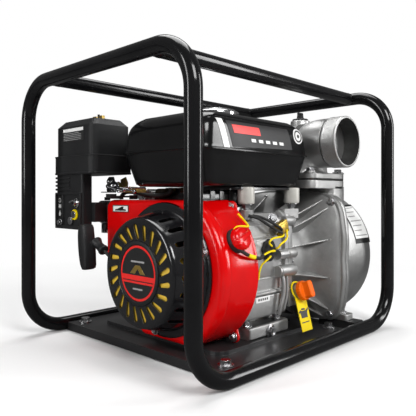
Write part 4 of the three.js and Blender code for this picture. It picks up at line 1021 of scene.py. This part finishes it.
# crankcase: parting flange, bosses, ledges, foot bolts, drain bolt, label
bm = bmesh.new()
seam = [(-118, 45), (-124, 60), (-131, 80), (-133, 110), (-133, 150), (-133, 184), (-128, 204),
        (-120, 211)]
band = seam + [(y + 9, z - 1) for y, z in reversed(seam)]
for flange in (((21.5, 1.6), (22.5, 0.2), (29.6, 0), (30.2, 0.6)),
               ((30.9, 0.9), (31.6, 0.2), (40.5, 0), (42.5, 1.2), (43.8, 3.4))):
    rings = []
    for x, lift in flange:
        rings.append([(x, y + (lift if i < len(seam) else 0), z) for i, (y, z) in enumerate(band)])
    add_rings(bm, rings)
made("case_seam_flanges", bm, ENGINE_CAST, crease=40)
bm = bmesh.new()
for x0, x1, y, z, r in ((19, 44, -131.5, 194, 8.0), (22, 44, -135.0, 142.5, 8.2),
                        (3, 43, -134, 115.8, 9.6)):
    turn(bm, (x0, y, z), (1, 0, 0), [(0, r * 0.7), (0.8, r * 0.94), (2.2, r), (x1 - x0 - 1.5, r),
         (x1 - x0, r * 0.9)], 40)
    turn(bm, (x0 - 0.9, y, z), (1, 0, 0), [(0, r * 0.35), (0.9, r * 0.55), (2, r * 0.6)], 24)
made("case_bosses", bm, ENGINE_CAST)
bm = bmesh.new()
tube(bm, spline([(9, -137, 110), (9, -139.5, 96), (7, -140, 78), (2, -139, 62), (0, -137, 50)], 8), 3.2,
     20)
tube(bm, spline([(20, -137, 110), (20, -138.5, 92), (17, -139, 74), (13, -137, 56)], 8), 2.2, 16)
made("case_ribs", bm, ENGINE_CAST, crease=45)
bm = bmesh.new()
side = lambda u, v, w: (u, -w, v)
for x0, x1, z0, z1, lift in ((-83, 20, 106, 108.4, 129.6), (-78, 12, 83.5, 87, 133.5),
                             (-70, -4, 170, 172.5, 129.2)):
    plate(bm, rounded(x0, x1, z0, z1, 1.0, 4), side, 126, lift, 0.8)
plate(bm, rounded(-79, 26, 50, 82, 6, 6), side, 126, 131.2, 2.4)
plate(bm, rounded(-80, -6, 110, 168, 9, 6), side, 126, 129.6, 1.4)
made("case_panels", bm, ENGINE_CAST)
bm = bmesh.new()
plate(bm, rounded(-64.2, 30, 20.6, 38, 3.5, 6), side, 118, 133.2, 2.2)
made("case_foot_face", bm, ENGINE_CAST)
bm = bmesh.new()
bolt(bm, (-17.2, -133.4, 27), (0, -1, 0), 7.4, 7, 10)
made("drain_bolt", bm, MACHINED)
for k, x in enumerate((-56, 18)):
    bm = bmesh.new()
    bolt(bm, (x, -118, 38.1), (0, 0, 1), 7.2, 8, 9.2)
    made(f"foot_bolt_{k + 1}", bm, MACHINED, stands_for=(f"engine_bolt_{k + 1}",))
bm = bmesh.new()
bolt(bm, (5, -126.5, 49), (0, -0.2, 1), 5.6, 8, 7)
bolt(bm, (-12, -133.4, 199), (-0.4, -0.85, 0.4), 6.2, 6, 8.4)
for at in ((43.2, -128, 186), (43.2, -126, 128), (43.2, -70, 198), (43.2, 2, 184), (43.2, 2, 74),
           (43.2, -120, 62)):
    bolt(bm, at, (1, 0, 0), 5.2, 5, 6.8)
made("case_bolts", bm, MACHINED)
bm = bmesh.new()
for at in ((19.0, -131.5, 194), (22.0, -135.0, 142.5)):
    turn(bm, at, (-1, 0, 0), [(0, 4.6), (1.4, 4.6), (1.9, 4.0)], 24)
made("case_plugs", bm, MACHINED)
on_case = lambda u, v, w: (u, -131.4 - w, v)
decal("case_label", rounded(-49, -16, 73, 81.5, 1.2, 4), on_case, WHITE, 0.5)
for k in range(5):
    decal(f"case_label_mark_{k}", [(-44 + k * 5, 75.6), (-41.2 + k * 5, 75.6), (-41.2 + k * 5, 79),
                                   (-44 + k * 5, 79)], on_case, LABEL_BLACK, 0.8)

# bright machined shoulder and sheet cowl between the fan cover and the tank
bm = bmesh.new()
turn(bm, (-84, -104, 178), (1, 0, 0), [(0, 25), (8, 25.5), (12, 24), (13, 20), (26, 19), (28, 16),
     (40, 15), (41, 9)], 48)
made("case_shoulder", bm, ENGINE_CAST)
bm = bmesh.new()
outline = rounded(-46, 62, 214, 246.4, 10, 8)
rings = []
for x, inset in ((-84.5, 0), (-30, 0), (46, 1), (54, 3), (57, 7)):
    rings.append([(x, 8 + (u - 8) * (1 - inset / 60), 230 + (v - 230) * (1 - inset / 40))
                  for u, v in outline])
add_rings(bm, rings)
made("cylinder_cowl", bm, STARTER_BLACK)
bm = bmesh.new()
for k in range(5):
    box(bm, -60 + k * 22, -50 + k * 22, -47.2, -44, 219, 242)
made("cowl_ribs", bm, STARTER_BLACK)

# tank mounts: rubber blocks with a stud and nut below
for name, x in (("tank_post_front", -56), ("tank_post_rear", 60)):
    bm = bmesh.new()
    turn(bm, (x, -118, 222), (0, 0, 1), [(0, 11.4), (0.8, 12.4), (3, 12.8), (22, 12.8), (24.6, 12.4),
         (25.6, 11)], 48)
    made(f"{name}_pad", bm, MOUNT_PAD, stands_for=(name,))
    bm = bmesh.new()
    turn(bm, (x, -118, 205), (0, 0, 1), [(0, 3.4), (0.4, 4), (18, 4)], 24)
    bolt(bm, (x, -118, 222), (0, 0, -1), 7.0, 7, 9.4)
    made(f"{name}_nut", bm, MACHINED)

# oil unit: yellow-plated housing with a cover plate and a terminal
unit_turn = Matrix.Rotation(-0.35, 3, "Y")


def on_unit(x, y, z):
    return Vector((10, AXIS_Y - 81.6, AXIS_Z + 57)) + unit_turn @ Vector((x, y, z))


bm = bmesh.new()
plate(bm, rounded(-12, 12, -10, 10, 2, 5), lambda u, v, w: on_unit(u, -w, v), 0, 8, 1.2)
plate(bm, rounded(-9.5, 9.5, -7.5, 7.5, 1.4, 5), lambda u, v, w: on_unit(u, -w, v), 7.5, 10, 0.8)
plate(bm, rounded(-15.5, -11, -5, 5, 1.5, 5), lambda u, v, w: on_unit(u, -w, v), 0.4, 2.4, 0.4)
made("oil_unit_housing", bm, UNIT_GOLD, stands_for=("oil_alert_unit",))
bm = bmesh.new()
bolt(bm, on_unit(-13.5, -2.2, 0), unit_turn @ Vector((0, -1, 0)), 3, 3, 4)
made("oil_unit_screw", bm, MACHINED)

# grommet: oval rubber bung with ripples and a cable nose
bm = bmesh.new()
rings = []
for out, scale in ((78.3, 0.96), (79, 1.0), (81.5, 1.0), (83, 0.96), (83.4, 0.86), (85.6, 0.8),
                   (87.2, 0.7), (88, 0.62)):
    ring = []
    for a in angles(64):
        ripple = 1 + 0.05 * math.sin(9 * a)
        ring.append((-18 + 16 * scale * ripple * math.cos(a), AXIS_Y - out,
                     150 + 17 * scale * ripple * math.sin(a)))
    rings.append(ring)
add_rings(bm, rings)
turn(bm, (-18, AXIS_Y - 87, 152), (0.1, -1, 0.1), [(0, 7), (3, 6), (5, 4.5)], 32)
made("grommet_bung", bm, RUBBER, stands_for=("wire_grommet",), crease=45)


# ---- wires and hose ------------------------------------------------------------------------------
def wire(name, route, radius, material, stands_for=(), declared=True, sides=16):
    points = spline(route, 10)
    bm = bmesh.new()
    tube(bm, points, radius, sides)
    piece = made(name, bm, material, stands_for=stands_for, crease=60)
    if declared:
        path = [tuple(p * MM) for p in points]
        length = sum((Vector(b) - Vector(a)).length for a, b in zip(path, path[1:]))
        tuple(path[0])


SWITCH_ROUTE = [(-119, -168, 157), (-108, -170, 151), (-88, -170, 147), (-72, -160, 146),
                (-52, -150, 148), (-34, -147, 151), (-24, -147, 151), (-22, -145, 151),
                (-22, -142.2, 151)]
SENSOR_ROUTE = [(-14, -142.2, 154), (-14, -146, 155), (-10, -149, 161), (0, -149, 165),
                (9, -146, 170), (13, -142.8, 176), (14, -142.6, 181)]
HOSE_ROUTE = [(-92, 12, 247.4), (-92, 13, 240), (-94, 30, 235), (-97, 66, 235), (-98, 100, 240),
              (-104, 118, 240), (-110, 122, 233), (-110, 122, 228)]

wire("switch_lead", SWITCH_ROUTE, 1.5, YELLOW, stands_for=("switch_wire",))
wire("sensor_lead", SENSOR_ROUTE, 1.5, YELLOW, stands_for=("sensor_wire",))
wire("fuel_line", HOSE_ROUTE, 3.6, RUBBER, stands_for=("fuel_hose",), sides=24)
wire("switch_sleeve", [(-128, -166, 163), (-120, -168.6, 158), (-112, -169.6, 154), (-98, -170.5, 149.5),
                       (-88, -169.5, 147.5), (-72, -160.5, 146.2), (-58, -152, 147.4)], 2.5, RUBBER)
wire("sleeve_end", [(-112, -170.6, 153.6), (-106, -171.4, 151.6), (-100, -171.6, 150)], 2.8, YELLOW,
     declared=False)
wire("ground_lead", [(-102, -142, 209), (-97, -148, 201), (-93, -153.5, 192.5), (-98, -155.6, 191.5),
                     (-110, -156.5, 192.5), (-121, -157, 192), (-128, -158.5, 188.5),
                     (-131, -160, 184)], 1.4, YELLOW)
wire("down_lead", [(-26, -141.5, 143), (-34, -141, 138), (-40, -136, 131), (-43, -133.5, 121),
                   (-43.5, -131.8, 108)], 1.4, YELLOW)
wire("sensor_loop", [(-24, -142, 158), (-34, -145, 164), (-28, -146, 169.5), (-14, -146, 171),
                     (0, -144, 171.5), (5, -143, 174)], 1.4, YELLOW)
wire("engine_cable_1", [(-62, -128, 205), (-48, -136, 200), (-30, -140, 190), (-12, -143, 181),
                        (0, -143.5, 177)], 2.2, RUBBER)
wire("engine_cable_2", [(-58, -124, 206), (-40, -133, 202), (-22, -139, 194), (-4, -142, 185),
                        (1, -142.5, 181)], 2.0, RUBBER)

# ---- dipstick cap and tag ------------------------------------------------------------------------
DIP_AXIS = Vector((0, -math.cos(math.radians(20)), math.sin(math.radians(20))))
DIP_BASE = Vector((50, AXIS_Y - 80, AXIS_Z - 52))


def flute(bm, origin, axis, profile, lobes, depth, segments=120):
    """Revolved body whose radius ripples round the axis; depth scales with each row."""
    axis, u, v = basis(axis)
    rings = []
    for along, radius, share in profile:
        ring = []
        for a in angles(segments):
            r = radius * (1 - depth * share * (0.5 - 0.5 * math.cos(lobes * a)) ** 0.6)
            ring.append(Vector(origin) + axis * along + (u * math.cos(a) + v * math.sin(a)) * r)
        rings.append(ring)
    return add_rings(bm, rings)


bm = bmesh.new()
flute(bm, DIP_BASE, DIP_AXIS, [(15.6, 14.4, 0), (16.2, 15.6, 0), (17.6, 15.9, 1), (22, 15.9, 1),
      (23.4, 15.2, 1), (24, 13.4, 0), (25, 11, 0)], 22, 0.05)
_, dip_u, dip_v = basis(DIP_AXIS)
rings = []
for along, wide, thick in ((22, 13.6, 9.0), (25, 13.4, 7.4), (29, 13.2, 6.4), (33, 13.4, 6.2),
                           (35.4, 13.2, 6.0), (36.4, 12.2, 5.0), (36.6, 10, 3.4)):
    corner = min(thick, wide) * 0.75
    rings.append([DIP_BASE + DIP_AXIS * along + dip_v * u + dip_u * v
                  for u, v in rounded(-wide, wide, -thick, thick, corner, 8)])
add_rings(bm, rings)
turn(bm, DIP_BASE, DIP_AXIS, [(-11.6, 1.6), (-11, 2.4), (14, 2.4), (15.8, 9)], 24)
made("dipstick_cap", bm, ORANGE, "oil_dipstick", ("dipstick",), crease=40)

TAG_TURN = Matrix.Rotation(math.radians(64), 3, "X")


def on_tag(u, v, w):
    """Tag plane: u across, v up the tag, w off its face."""
    return TAG_TURN @ Vector((u, v, w)) + Vector((50, AXIS_Y - 116, AXIS_Z - 104))


bm = bmesh.new()
outline = [(-27.5, 0), (-0.6, 0), (0.4, 0.8), (13.6, 52), (12.5, 58), (8, 62.5), (-8, 62.5),
           (-13, 58)]
plate(bm, outline, on_tag, -1.0, 0.2, 0.2)
made("oil_tag_strap", bm, YELLOW, stands_for=("oil_tag",))
bm = bmesh.new()
ring = []
for k in range(49):
    a = math.radians(-60 + 300 * k / 48)
    ring.append(on_tag(15.4 * math.cos(a), 63 + 15.4 * math.sin(a), -0.4))
tube(bm, ring, 1.5, 10)
made("oil_tag_loop", bm, YELLOW, crease=60)
on_tag_face = lambda u, v, w: on_tag(u + 0.24 * v - 14, v, 0.2 + w)
can = [(-8, 20), (8, 20), (9, 28), (14, 33), (12.5, 34.5), (6, 31), (-4, 31), (-9, 33), (-13, 29),
       (-9, 28)]
decal("oil_tag_can", can, on_tag_face, LABEL_BLACK, 0.4)
decal("oil_tag_lid", rounded(-5, 5, 32, 35, 1.2, 4), on_tag_face, LABEL_BLACK, 0.4)
decal("oil_tag_line", rounded(-10, 10, 12.5, 14, 0.6, 4), on_tag_face, LABEL_BLACK, 0.4)

# ---- handle, starter bolts and stickers ----------------------------------------------------------
GRIP_AXIS = (0, math.cos(math.radians(27)), math.sin(math.radians(27)))
GRIP_ROOT = (-190, AXIS_Y + 98, AXIS_Z + 18)
grip_turn = Matrix.Rotation(math.radians(-7), 2)


def on_grip(u, v, w):
    p = grip_turn @ Vector((u, v))
    return (-w, AXIS_Y + 137 + p.x, AXIS_Z + 27 + p.y)


bm = bmesh.new()
side_curve = spline([(4, -35.5, 0), (9.6, -24, 0), (11.6, 0, 0), (9.4, 24, 0), (3, 35.5, 0)], 8)
outline = [(p.x, p.y) for p in side_curve]
outline += [(-1, 35.8), (-6, 34.6), (-8.8, 30), (-9.8, 12), (-10, 0), (-9.8, -12), (-8.6, -30),
            (-6, -34.6), (-1, -35.9)]
grip_rings = []
for w, shrink in ((190.6, 0.80), (191.2, 0.91), (193, 0.98), (196, 1), (205, 1), (208.4, 0.98),
                  (210.4, 0.91), (211, 0.78)):
    grip_rings.append([on_grip(u * shrink, v * (1 - (1 - shrink) * 0.3), w) for u, v in outline])
add_rings(bm, grip_rings)
turn(bm, GRIP_ROOT, GRIP_AXIS, [(8.8, 6), (9.4, 7.6), (10.4, 8.2), (13, 8.2), (14.4, 7.2),
                                (24, 6.6), (29, 8.0), (34, 10)], 48)
made("starter_grip_moulding", bm, SATIN_BLACK, "starter_grip", ("starter_handle",), crease=38)
bm = bmesh.new()
for degrees in (-80, 40, 160):
    a = math.radians(degrees)
    bolt(bm, (-161.3, AXIS_Y + 91.4 * math.cos(a), AXIS_Z + 91.4 * math.sin(a)), (-1, 0, 0), 4.8, 5, 6.6)
made("starter_bolts", bm, MACHINED)
on_fan = lambda u, v, w: (-158.1 - w, u, v)
decal("fan_sticker", rounded(36, 79, 208, 219.5, 1.2, 4), on_fan, LABEL_BLACK, 0.4)
decal("fan_sticker_field", rounded(38, 77, 209.4, 218.1, 0.8, 4), on_fan, WHITE, 0.6)
decal("fan_sticker_shape", [(42, 210.4), (73, 210.4), (70, 213), (60, 213.6), (54, 217),
                            (49, 217), (50, 213.4), (44, 213)], on_fan, LABEL_BLACK, 0.8)

# ---- air cleaner ---------------------------------------------------------------------------------
on_cover = lambda u, v, w: (-191.0 - w, u, v)
on_panel = lambda u, v, w: (-190.0 - w, u, v)
decal("air_label", rounded(112, 178, 325, 348, 1.5, 4), on_cover, LABEL_BLACK, 0.4, "air_cover")
decal("air_label_head", rounded(114, 176, 341, 346.4, 0.8, 4), on_cover, WHITE, 0.6, "air_cover")
for k in range(5):
    low = 327 + k * 2.7
    decal(f"air_label_line_{k}", rounded(120 + 7 * (k == 4), 175, low, 328 + k * 2.7, 0.4, 2),
          on_cover, LABEL_LINE, 0.6, "air_cover")
bm = bmesh.new()
for k in range(4):
    plate(bm, rounded(157, 202.5, 243 + k * 6.6, 246.6 + k * 6.6, 1.4, 5), on_panel, -0.6, 1.8, 0.8)
for u0, u1, v0, v1 in ((121, 202, 236, 239.5), (176, 179, 186, 237), (121, 202, 178.2, 184),
                       (199.5, 202.4, 183, 237), (121, 124, 183, 237)):
    plate(bm, rounded(u0, u1, v0, v1, 1.0, 4), on_panel, -0.6, 2.6, 0.8)
made("air_panel_ribs", bm, SATIN_BLACK)
bm = bmesh.new()
for rim in (((298.6, -0.6), (299, 0.6), (300.6, 0.8), (301.2, 0.2)),
            ((270.2, -2.0), (270.2, 0.6), (272.6, 0.8), (273.4, -0.4))):
    rings = []
    for z, grow in rim:
        outline = rounded(-194 - grow, -113 + grow, 84 - grow, 206 + grow, 11 + grow, 10)
        rings.append([(x, y, z) for x, y in outline])
    add_rings(bm, rings)
made("air_seam_rim", bm, SATIN_BLACK)
decal("air_icons", rounded(181, 197, 194, 234, 1.2, 4), on_panel, LABEL_BLACK, 0.5)
decal("air_icons_ring", arc_band(189, 226.5, 2.6, 4.0, 20, 340, 14), on_panel, WHITE, 0.7)
decal("air_icons_bar", rounded(185, 193, 213.5, 219.5, 0.8, 4), on_panel, WHITE, 0.7)
decal("air_icons_drop", [(189, 210), (192.6, 203.6), (191.4, 200.4), (189, 199.4),
                         (186.6, 200.4), (185.4, 203.6)], on_panel, WHITE, 0.7)
bm = bmesh.new()
bolt(bm, (-190.2, 188, 188.5), (-1, 0, 0), 4.6, 5, 6.4)
turn(bm, (-190.2, 131, 222), (-1, 0, 0),
     [(0, 7.4), (1.2, 7.8), (4, 7.8), (5, 6.8), (5.4, 4), (9, 3.6), (9.6, 2.8)], 36)
tube(bm, spline([(-193, 131, 222), (-195, 140, 226), (-195, 150, 223)], 6), 1.5, 12)
made("choke_knob", bm, CHROME)
bm = bmesh.new()
turn(bm, (-190.2, 140, 203), (-1, 0, 0), [(0, 8.6), (1.0, 8.8), (2.2, 8.4), (2.2, 5)], 36)
made("choke_washer", bm, YELLOW)
bm = bmesh.new()
turn(bm, (-190.2, 140, 203), (-1, 0, 0), [(0, 6.2), (4, 6.2), (5, 5.2), (5.2, 2)], 36)
turn(bm, (-190.2, 152, 192.5), (-1, 0, 0), [(0, 6.6), (3, 6.6), (3.8, 5.6), (4, 2)], 36)
made("choke_fittings", bm, MACHINED)

# governor rods, spring and brackets above the fan cover
bm = bmesh.new()
tube(bm, spline([(-146, 104, 250), (-148, 86, 247), (-149, 60, 244), (-148, 31, 241)], 8), 1.3, 12)
tube(bm, spline([(-140, 112, 250), (-139, 84, 247), (-138, 52, 247), (-136, 22, 246)], 8), 1.1, 12)
helix = []
for k in range(145):
    a = math.tau * k / 12
    helix.append((-144 + 3.0 * math.cos(a), 100 - k * 0.34, 243 + 3.0 * math.sin(a) + 0.02 * k))
tube(bm, helix, 0.6, 6)
for y, z in ((104, 250), (31, 241), (60, 244)):
    turn(bm, (-153, y, z), (1, 0, 0), [(0, 2.6), (0.6, 3.2), (4, 3.2), (4.6, 2.4)], 20)
made("governor_links", bm, CHROME)
bm = bmesh.new()
across = lambda u, v, w: (w, u, v)
plate(bm, [(24, 239.4), (46, 239.4), (74, 240), (104, 241), (112, 246), (110, 256), (98, 258), (84, 250),
           (40, 248), (26, 246)], across, -134, -131.6, 0.4)
plate(bm, [(92, 239.6), (108, 239.6), (110, 262), (96, 266), (90, 256)], across, -121, -119, 0.4)
made("governor_brackets", bm, ZINC)
bm = bmesh.new()
plate(bm, [(84, 239.6), (117, 239.6), (119, 244), (117, 262), (112, 266), (100, 266), (96, 258),
           (88, 256), (84, 250)], across, -143, -141, 0.5)
for y, z, r in ((104, 250, 6.4), (92, 246, 4.0), (111, 258, 4.4)):
    turn(bm, (-143, y, z), (-1, 0, 0),
         [(0, r), (1.4, r), (2.2, r - 1), (3.6, r - 1.6), (4.2, r - 3)], 24)
plate(bm, rounded(66, 116, -158, -130, 4, 5), lambda u, v, w: (v, u, w), 239.4, 241.0, 0.4)
made("governor_plate", bm, CHROME)

# valve cover bolts, head bolts and muffler nuts
HEAD_TILT = math.radians(25)


def on_head(x, out, across_):
    """Point beside the cylinder axis: out along it, across_ upward of it."""
    return Vector((x, AXIS_Y + out * math.cos(HEAD_TILT) - across_ * math.sin(HEAD_TILT),
                   AXIS_Z + out * math.sin(HEAD_TILT) + across_ * math.cos(HEAD_TILT)))


head_axis = (0, math.cos(HEAD_TILT), math.sin(HEAD_TILT))
bm = bmesh.new()
for x in (-36, 20):
    for t in (-33, 28):
        bolt(bm, on_head(x, 206.0, t * 0.86), head_axis, 4.6, 5, 6.4)
for x, t in ((-70, -36), (-70, 4), (18, 42), (18, -42)):
    bolt(bm, on_head(x, 180.2, t), head_axis, 5.6, 6, 7.4)
for x, z in ((20, 283), (84, 283)):
    bolt(bm, (x, 171.2, z), (0, 1, 0), 4.4, 4.5, 6)
made("head_bolts", bm, MACHINED)
bm = bmesh.new()
rings = []
for out, half, tall in ((206.0, 26, 27), (207.6, 25.4, 26.4), (208.4, 24, 25), (208.4, 20, 21),
                        (207, 19, 20)):
    rings.append([on_head(-8 + u, out, v - 2) for u, v in rounded(-half, half, -tall, tall, 9, 8)])
add_rings(bm, rings)
made("valve_cover_panel", bm, ENGINE_CAST, slot="gloss_black")

# sheet below the tank and the bracket that carries the muffler
bm = bmesh.new()
plate(bm, rounded(-84, 88, -122, 44, 14, 8), flat, 243.4, 247.4, 0.6)
made("tank_shield", bm, STARTER_BLACK)
bm = bmesh.new()
plate(bm, rounded(58, 110, 206, 262, 6, 6), lambda u, v, w: (u, w, v), 46, 58, 1.0)
made("muffler_bracket", bm, STARTER_BLACK)

# ---- frame details -------------------------------------------------------------------------------
bm = bmesh.new()
for side in (-1, 1):
    for y in (-RAIL_Y, RAIL_Y):
        rows = []
        for along, radius in ((225.6, 10.6), (226.2, 11.0), (228.6, 11.08), (231, 11.08), (233.4, 10.8)):
            row = []
            for a in angles(72):
                r = radius - 0.22 * (0.5 + 0.5 * math.cos(18 * a))
                row.append((side * along, y + r * math.cos(a), TOP + r * math.sin(a)))
            rows.append(row)
        add_rings(bm, rows)
made("frame_welds", bm, GLOSS_BLACK, crease=60)

# ---- floor and light ------------------------------------------------------------------------
floor_bm = bmesh.new()
FLOOR_MATERIAL = bpy.data.materials.new("floor_white")
FLOOR_MATERIAL.use_nodes = True
floor_tree = FLOOR_MATERIAL.node_tree
floor_shader = floor_tree.nodes["Principled BSDF"]
floor_shader.inputs["Base Color"].default_value = (0.86, 0.86, 0.86, 1)
floor_shader.inputs["Roughness"].default_value = 0.7
floor_shader.inputs["Specular IOR Level"].default_value = 0.1
floor_place = floor_tree.nodes.new("ShaderNodeTexCoord")
floor_distance = floor_tree.nodes.new("ShaderNodeVectorMath")
floor_distance.operation = "LENGTH"
floor_fade = floor_tree.nodes.new("ShaderNodeMapRange")
floor_fade.inputs["From Min"].default_value = 0.45
floor_fade.inputs["From Max"].default_value = 1.1
floor_ray = floor_tree.nodes.new("ShaderNodeLightPath")
floor_share = floor_tree.nodes.new("ShaderNodeMath")
floor_share.operation = "MULTIPLY"
floor_glow = floor_tree.nodes.new("ShaderNodeEmission")
floor_mix = floor_tree.nodes.new("ShaderNodeMixShader")
floor_dark = floor_tree.nodes.new("ShaderNodeBsdfDiffuse")
floor_dark.inputs["Color"].default_value = (0.14, 0.14, 0.14, 1)
floor_kind = floor_tree.nodes.new("ShaderNodeMixShader")
for start, end in (
        (floor_place.outputs["Object"], floor_distance.inputs[0]),
        (floor_distance.outputs["Value"], floor_fade.inputs["Value"]),
        (floor_fade.outputs["Result"], floor_share.inputs[0]),
        (floor_ray.outputs["Is Camera Ray"], floor_share.inputs[1]),
        (floor_share.outputs["Value"], floor_mix.inputs["Fac"]),
        (floor_ray.outputs["Is Glossy Ray"], floor_kind.inputs["Fac"]),
        (floor_shader.outputs["BSDF"], floor_kind.inputs[1]),
        (floor_dark.outputs["BSDF"], floor_kind.inputs[2]),
        (floor_kind.outputs["Shader"], floor_mix.inputs[1]),
        (floor_glow.outputs["Emission"], floor_mix.inputs[2]),
        (floor_mix.outputs["Shader"], floor_tree.nodes["Material Output"].inputs["Surface"])):
    floor_tree.links.new(start, end)
for x, y in ((-6, -6), (6, -6), (6, 6), (-6, 6)):
    floor_bm.verts.new((x, y, -0.0005))
floor_bm.faces.new(floor_bm.verts[:])
floor_mesh = bpy.data.meshes.new("floor")
floor_bm.to_mesh(floor_mesh)
floor_bm.free()
floor_mesh.materials.append(FLOOR_MATERIAL)
floor = bpy.data.objects.new("floor", floor_mesh)
bpy.context.collection.objects.link(floor)

world = bpy.data.worlds.new("studio")
bpy.context.scene.world = world
world.use_nodes = True
world.node_tree.nodes["Background"].inputs["Color"].default_value = (1, 1, 1, 1)
background = world.node_tree.nodes["Background"]
background.inputs["Strength"].default_value = 0.15
seen = world.node_tree.nodes.new("ShaderNodeBackground")
seen.inputs["Color"].default_value = (1, 1, 1, 1)
ray = world.node_tree.nodes.new("ShaderNodeLightPath")
either = world.node_tree.nodes.new("ShaderNodeMixShader")
world.node_tree.links.new(ray.outputs["Is Camera Ray"], either.inputs["Fac"])
world.node_tree.links.new(background.outputs["Background"], either.inputs[1])
world.node_tree.links.new(seen.outputs["Background"], either.inputs[2])
world.node_tree.links.new(either.outputs["Shader"],
                          world.node_tree.nodes["World Output"].inputs["Surface"])


def area_light(name, at, target, size, power):
    data = bpy.data.lights.new(name, "AREA")
    data.shape = "RECTANGLE"
    data.size, data.size_y = size
    data.energy = power
    light = bpy.data.objects.new(name, data)
    light.location = at
    light.rotation_euler = (Vector(target) - Vector(at)).to_track_quat("-Z", "Y").to_euler()
    bpy.context.collection.objects.link(light)


area_light("key", (-0.6, -1.9, 1.7), (0, 0, 0.2), (0.9, 0.9), 42)
area_light("side", (-2.2, 0.5, 0.9), (-0.1, 0, 0.2), (0.4, 1.4), 22)
area_light("right", (1.5, -1.7, 0.9), (0.1, 0, 0.2), (0.4, 1.4), 22)
area_light("top", (0.3, 0.4, 2.3), (0, 0, 0.2), (1.6, 1.6), 40)
bpy.context.scene.view_settings.view_transform = "Standard"
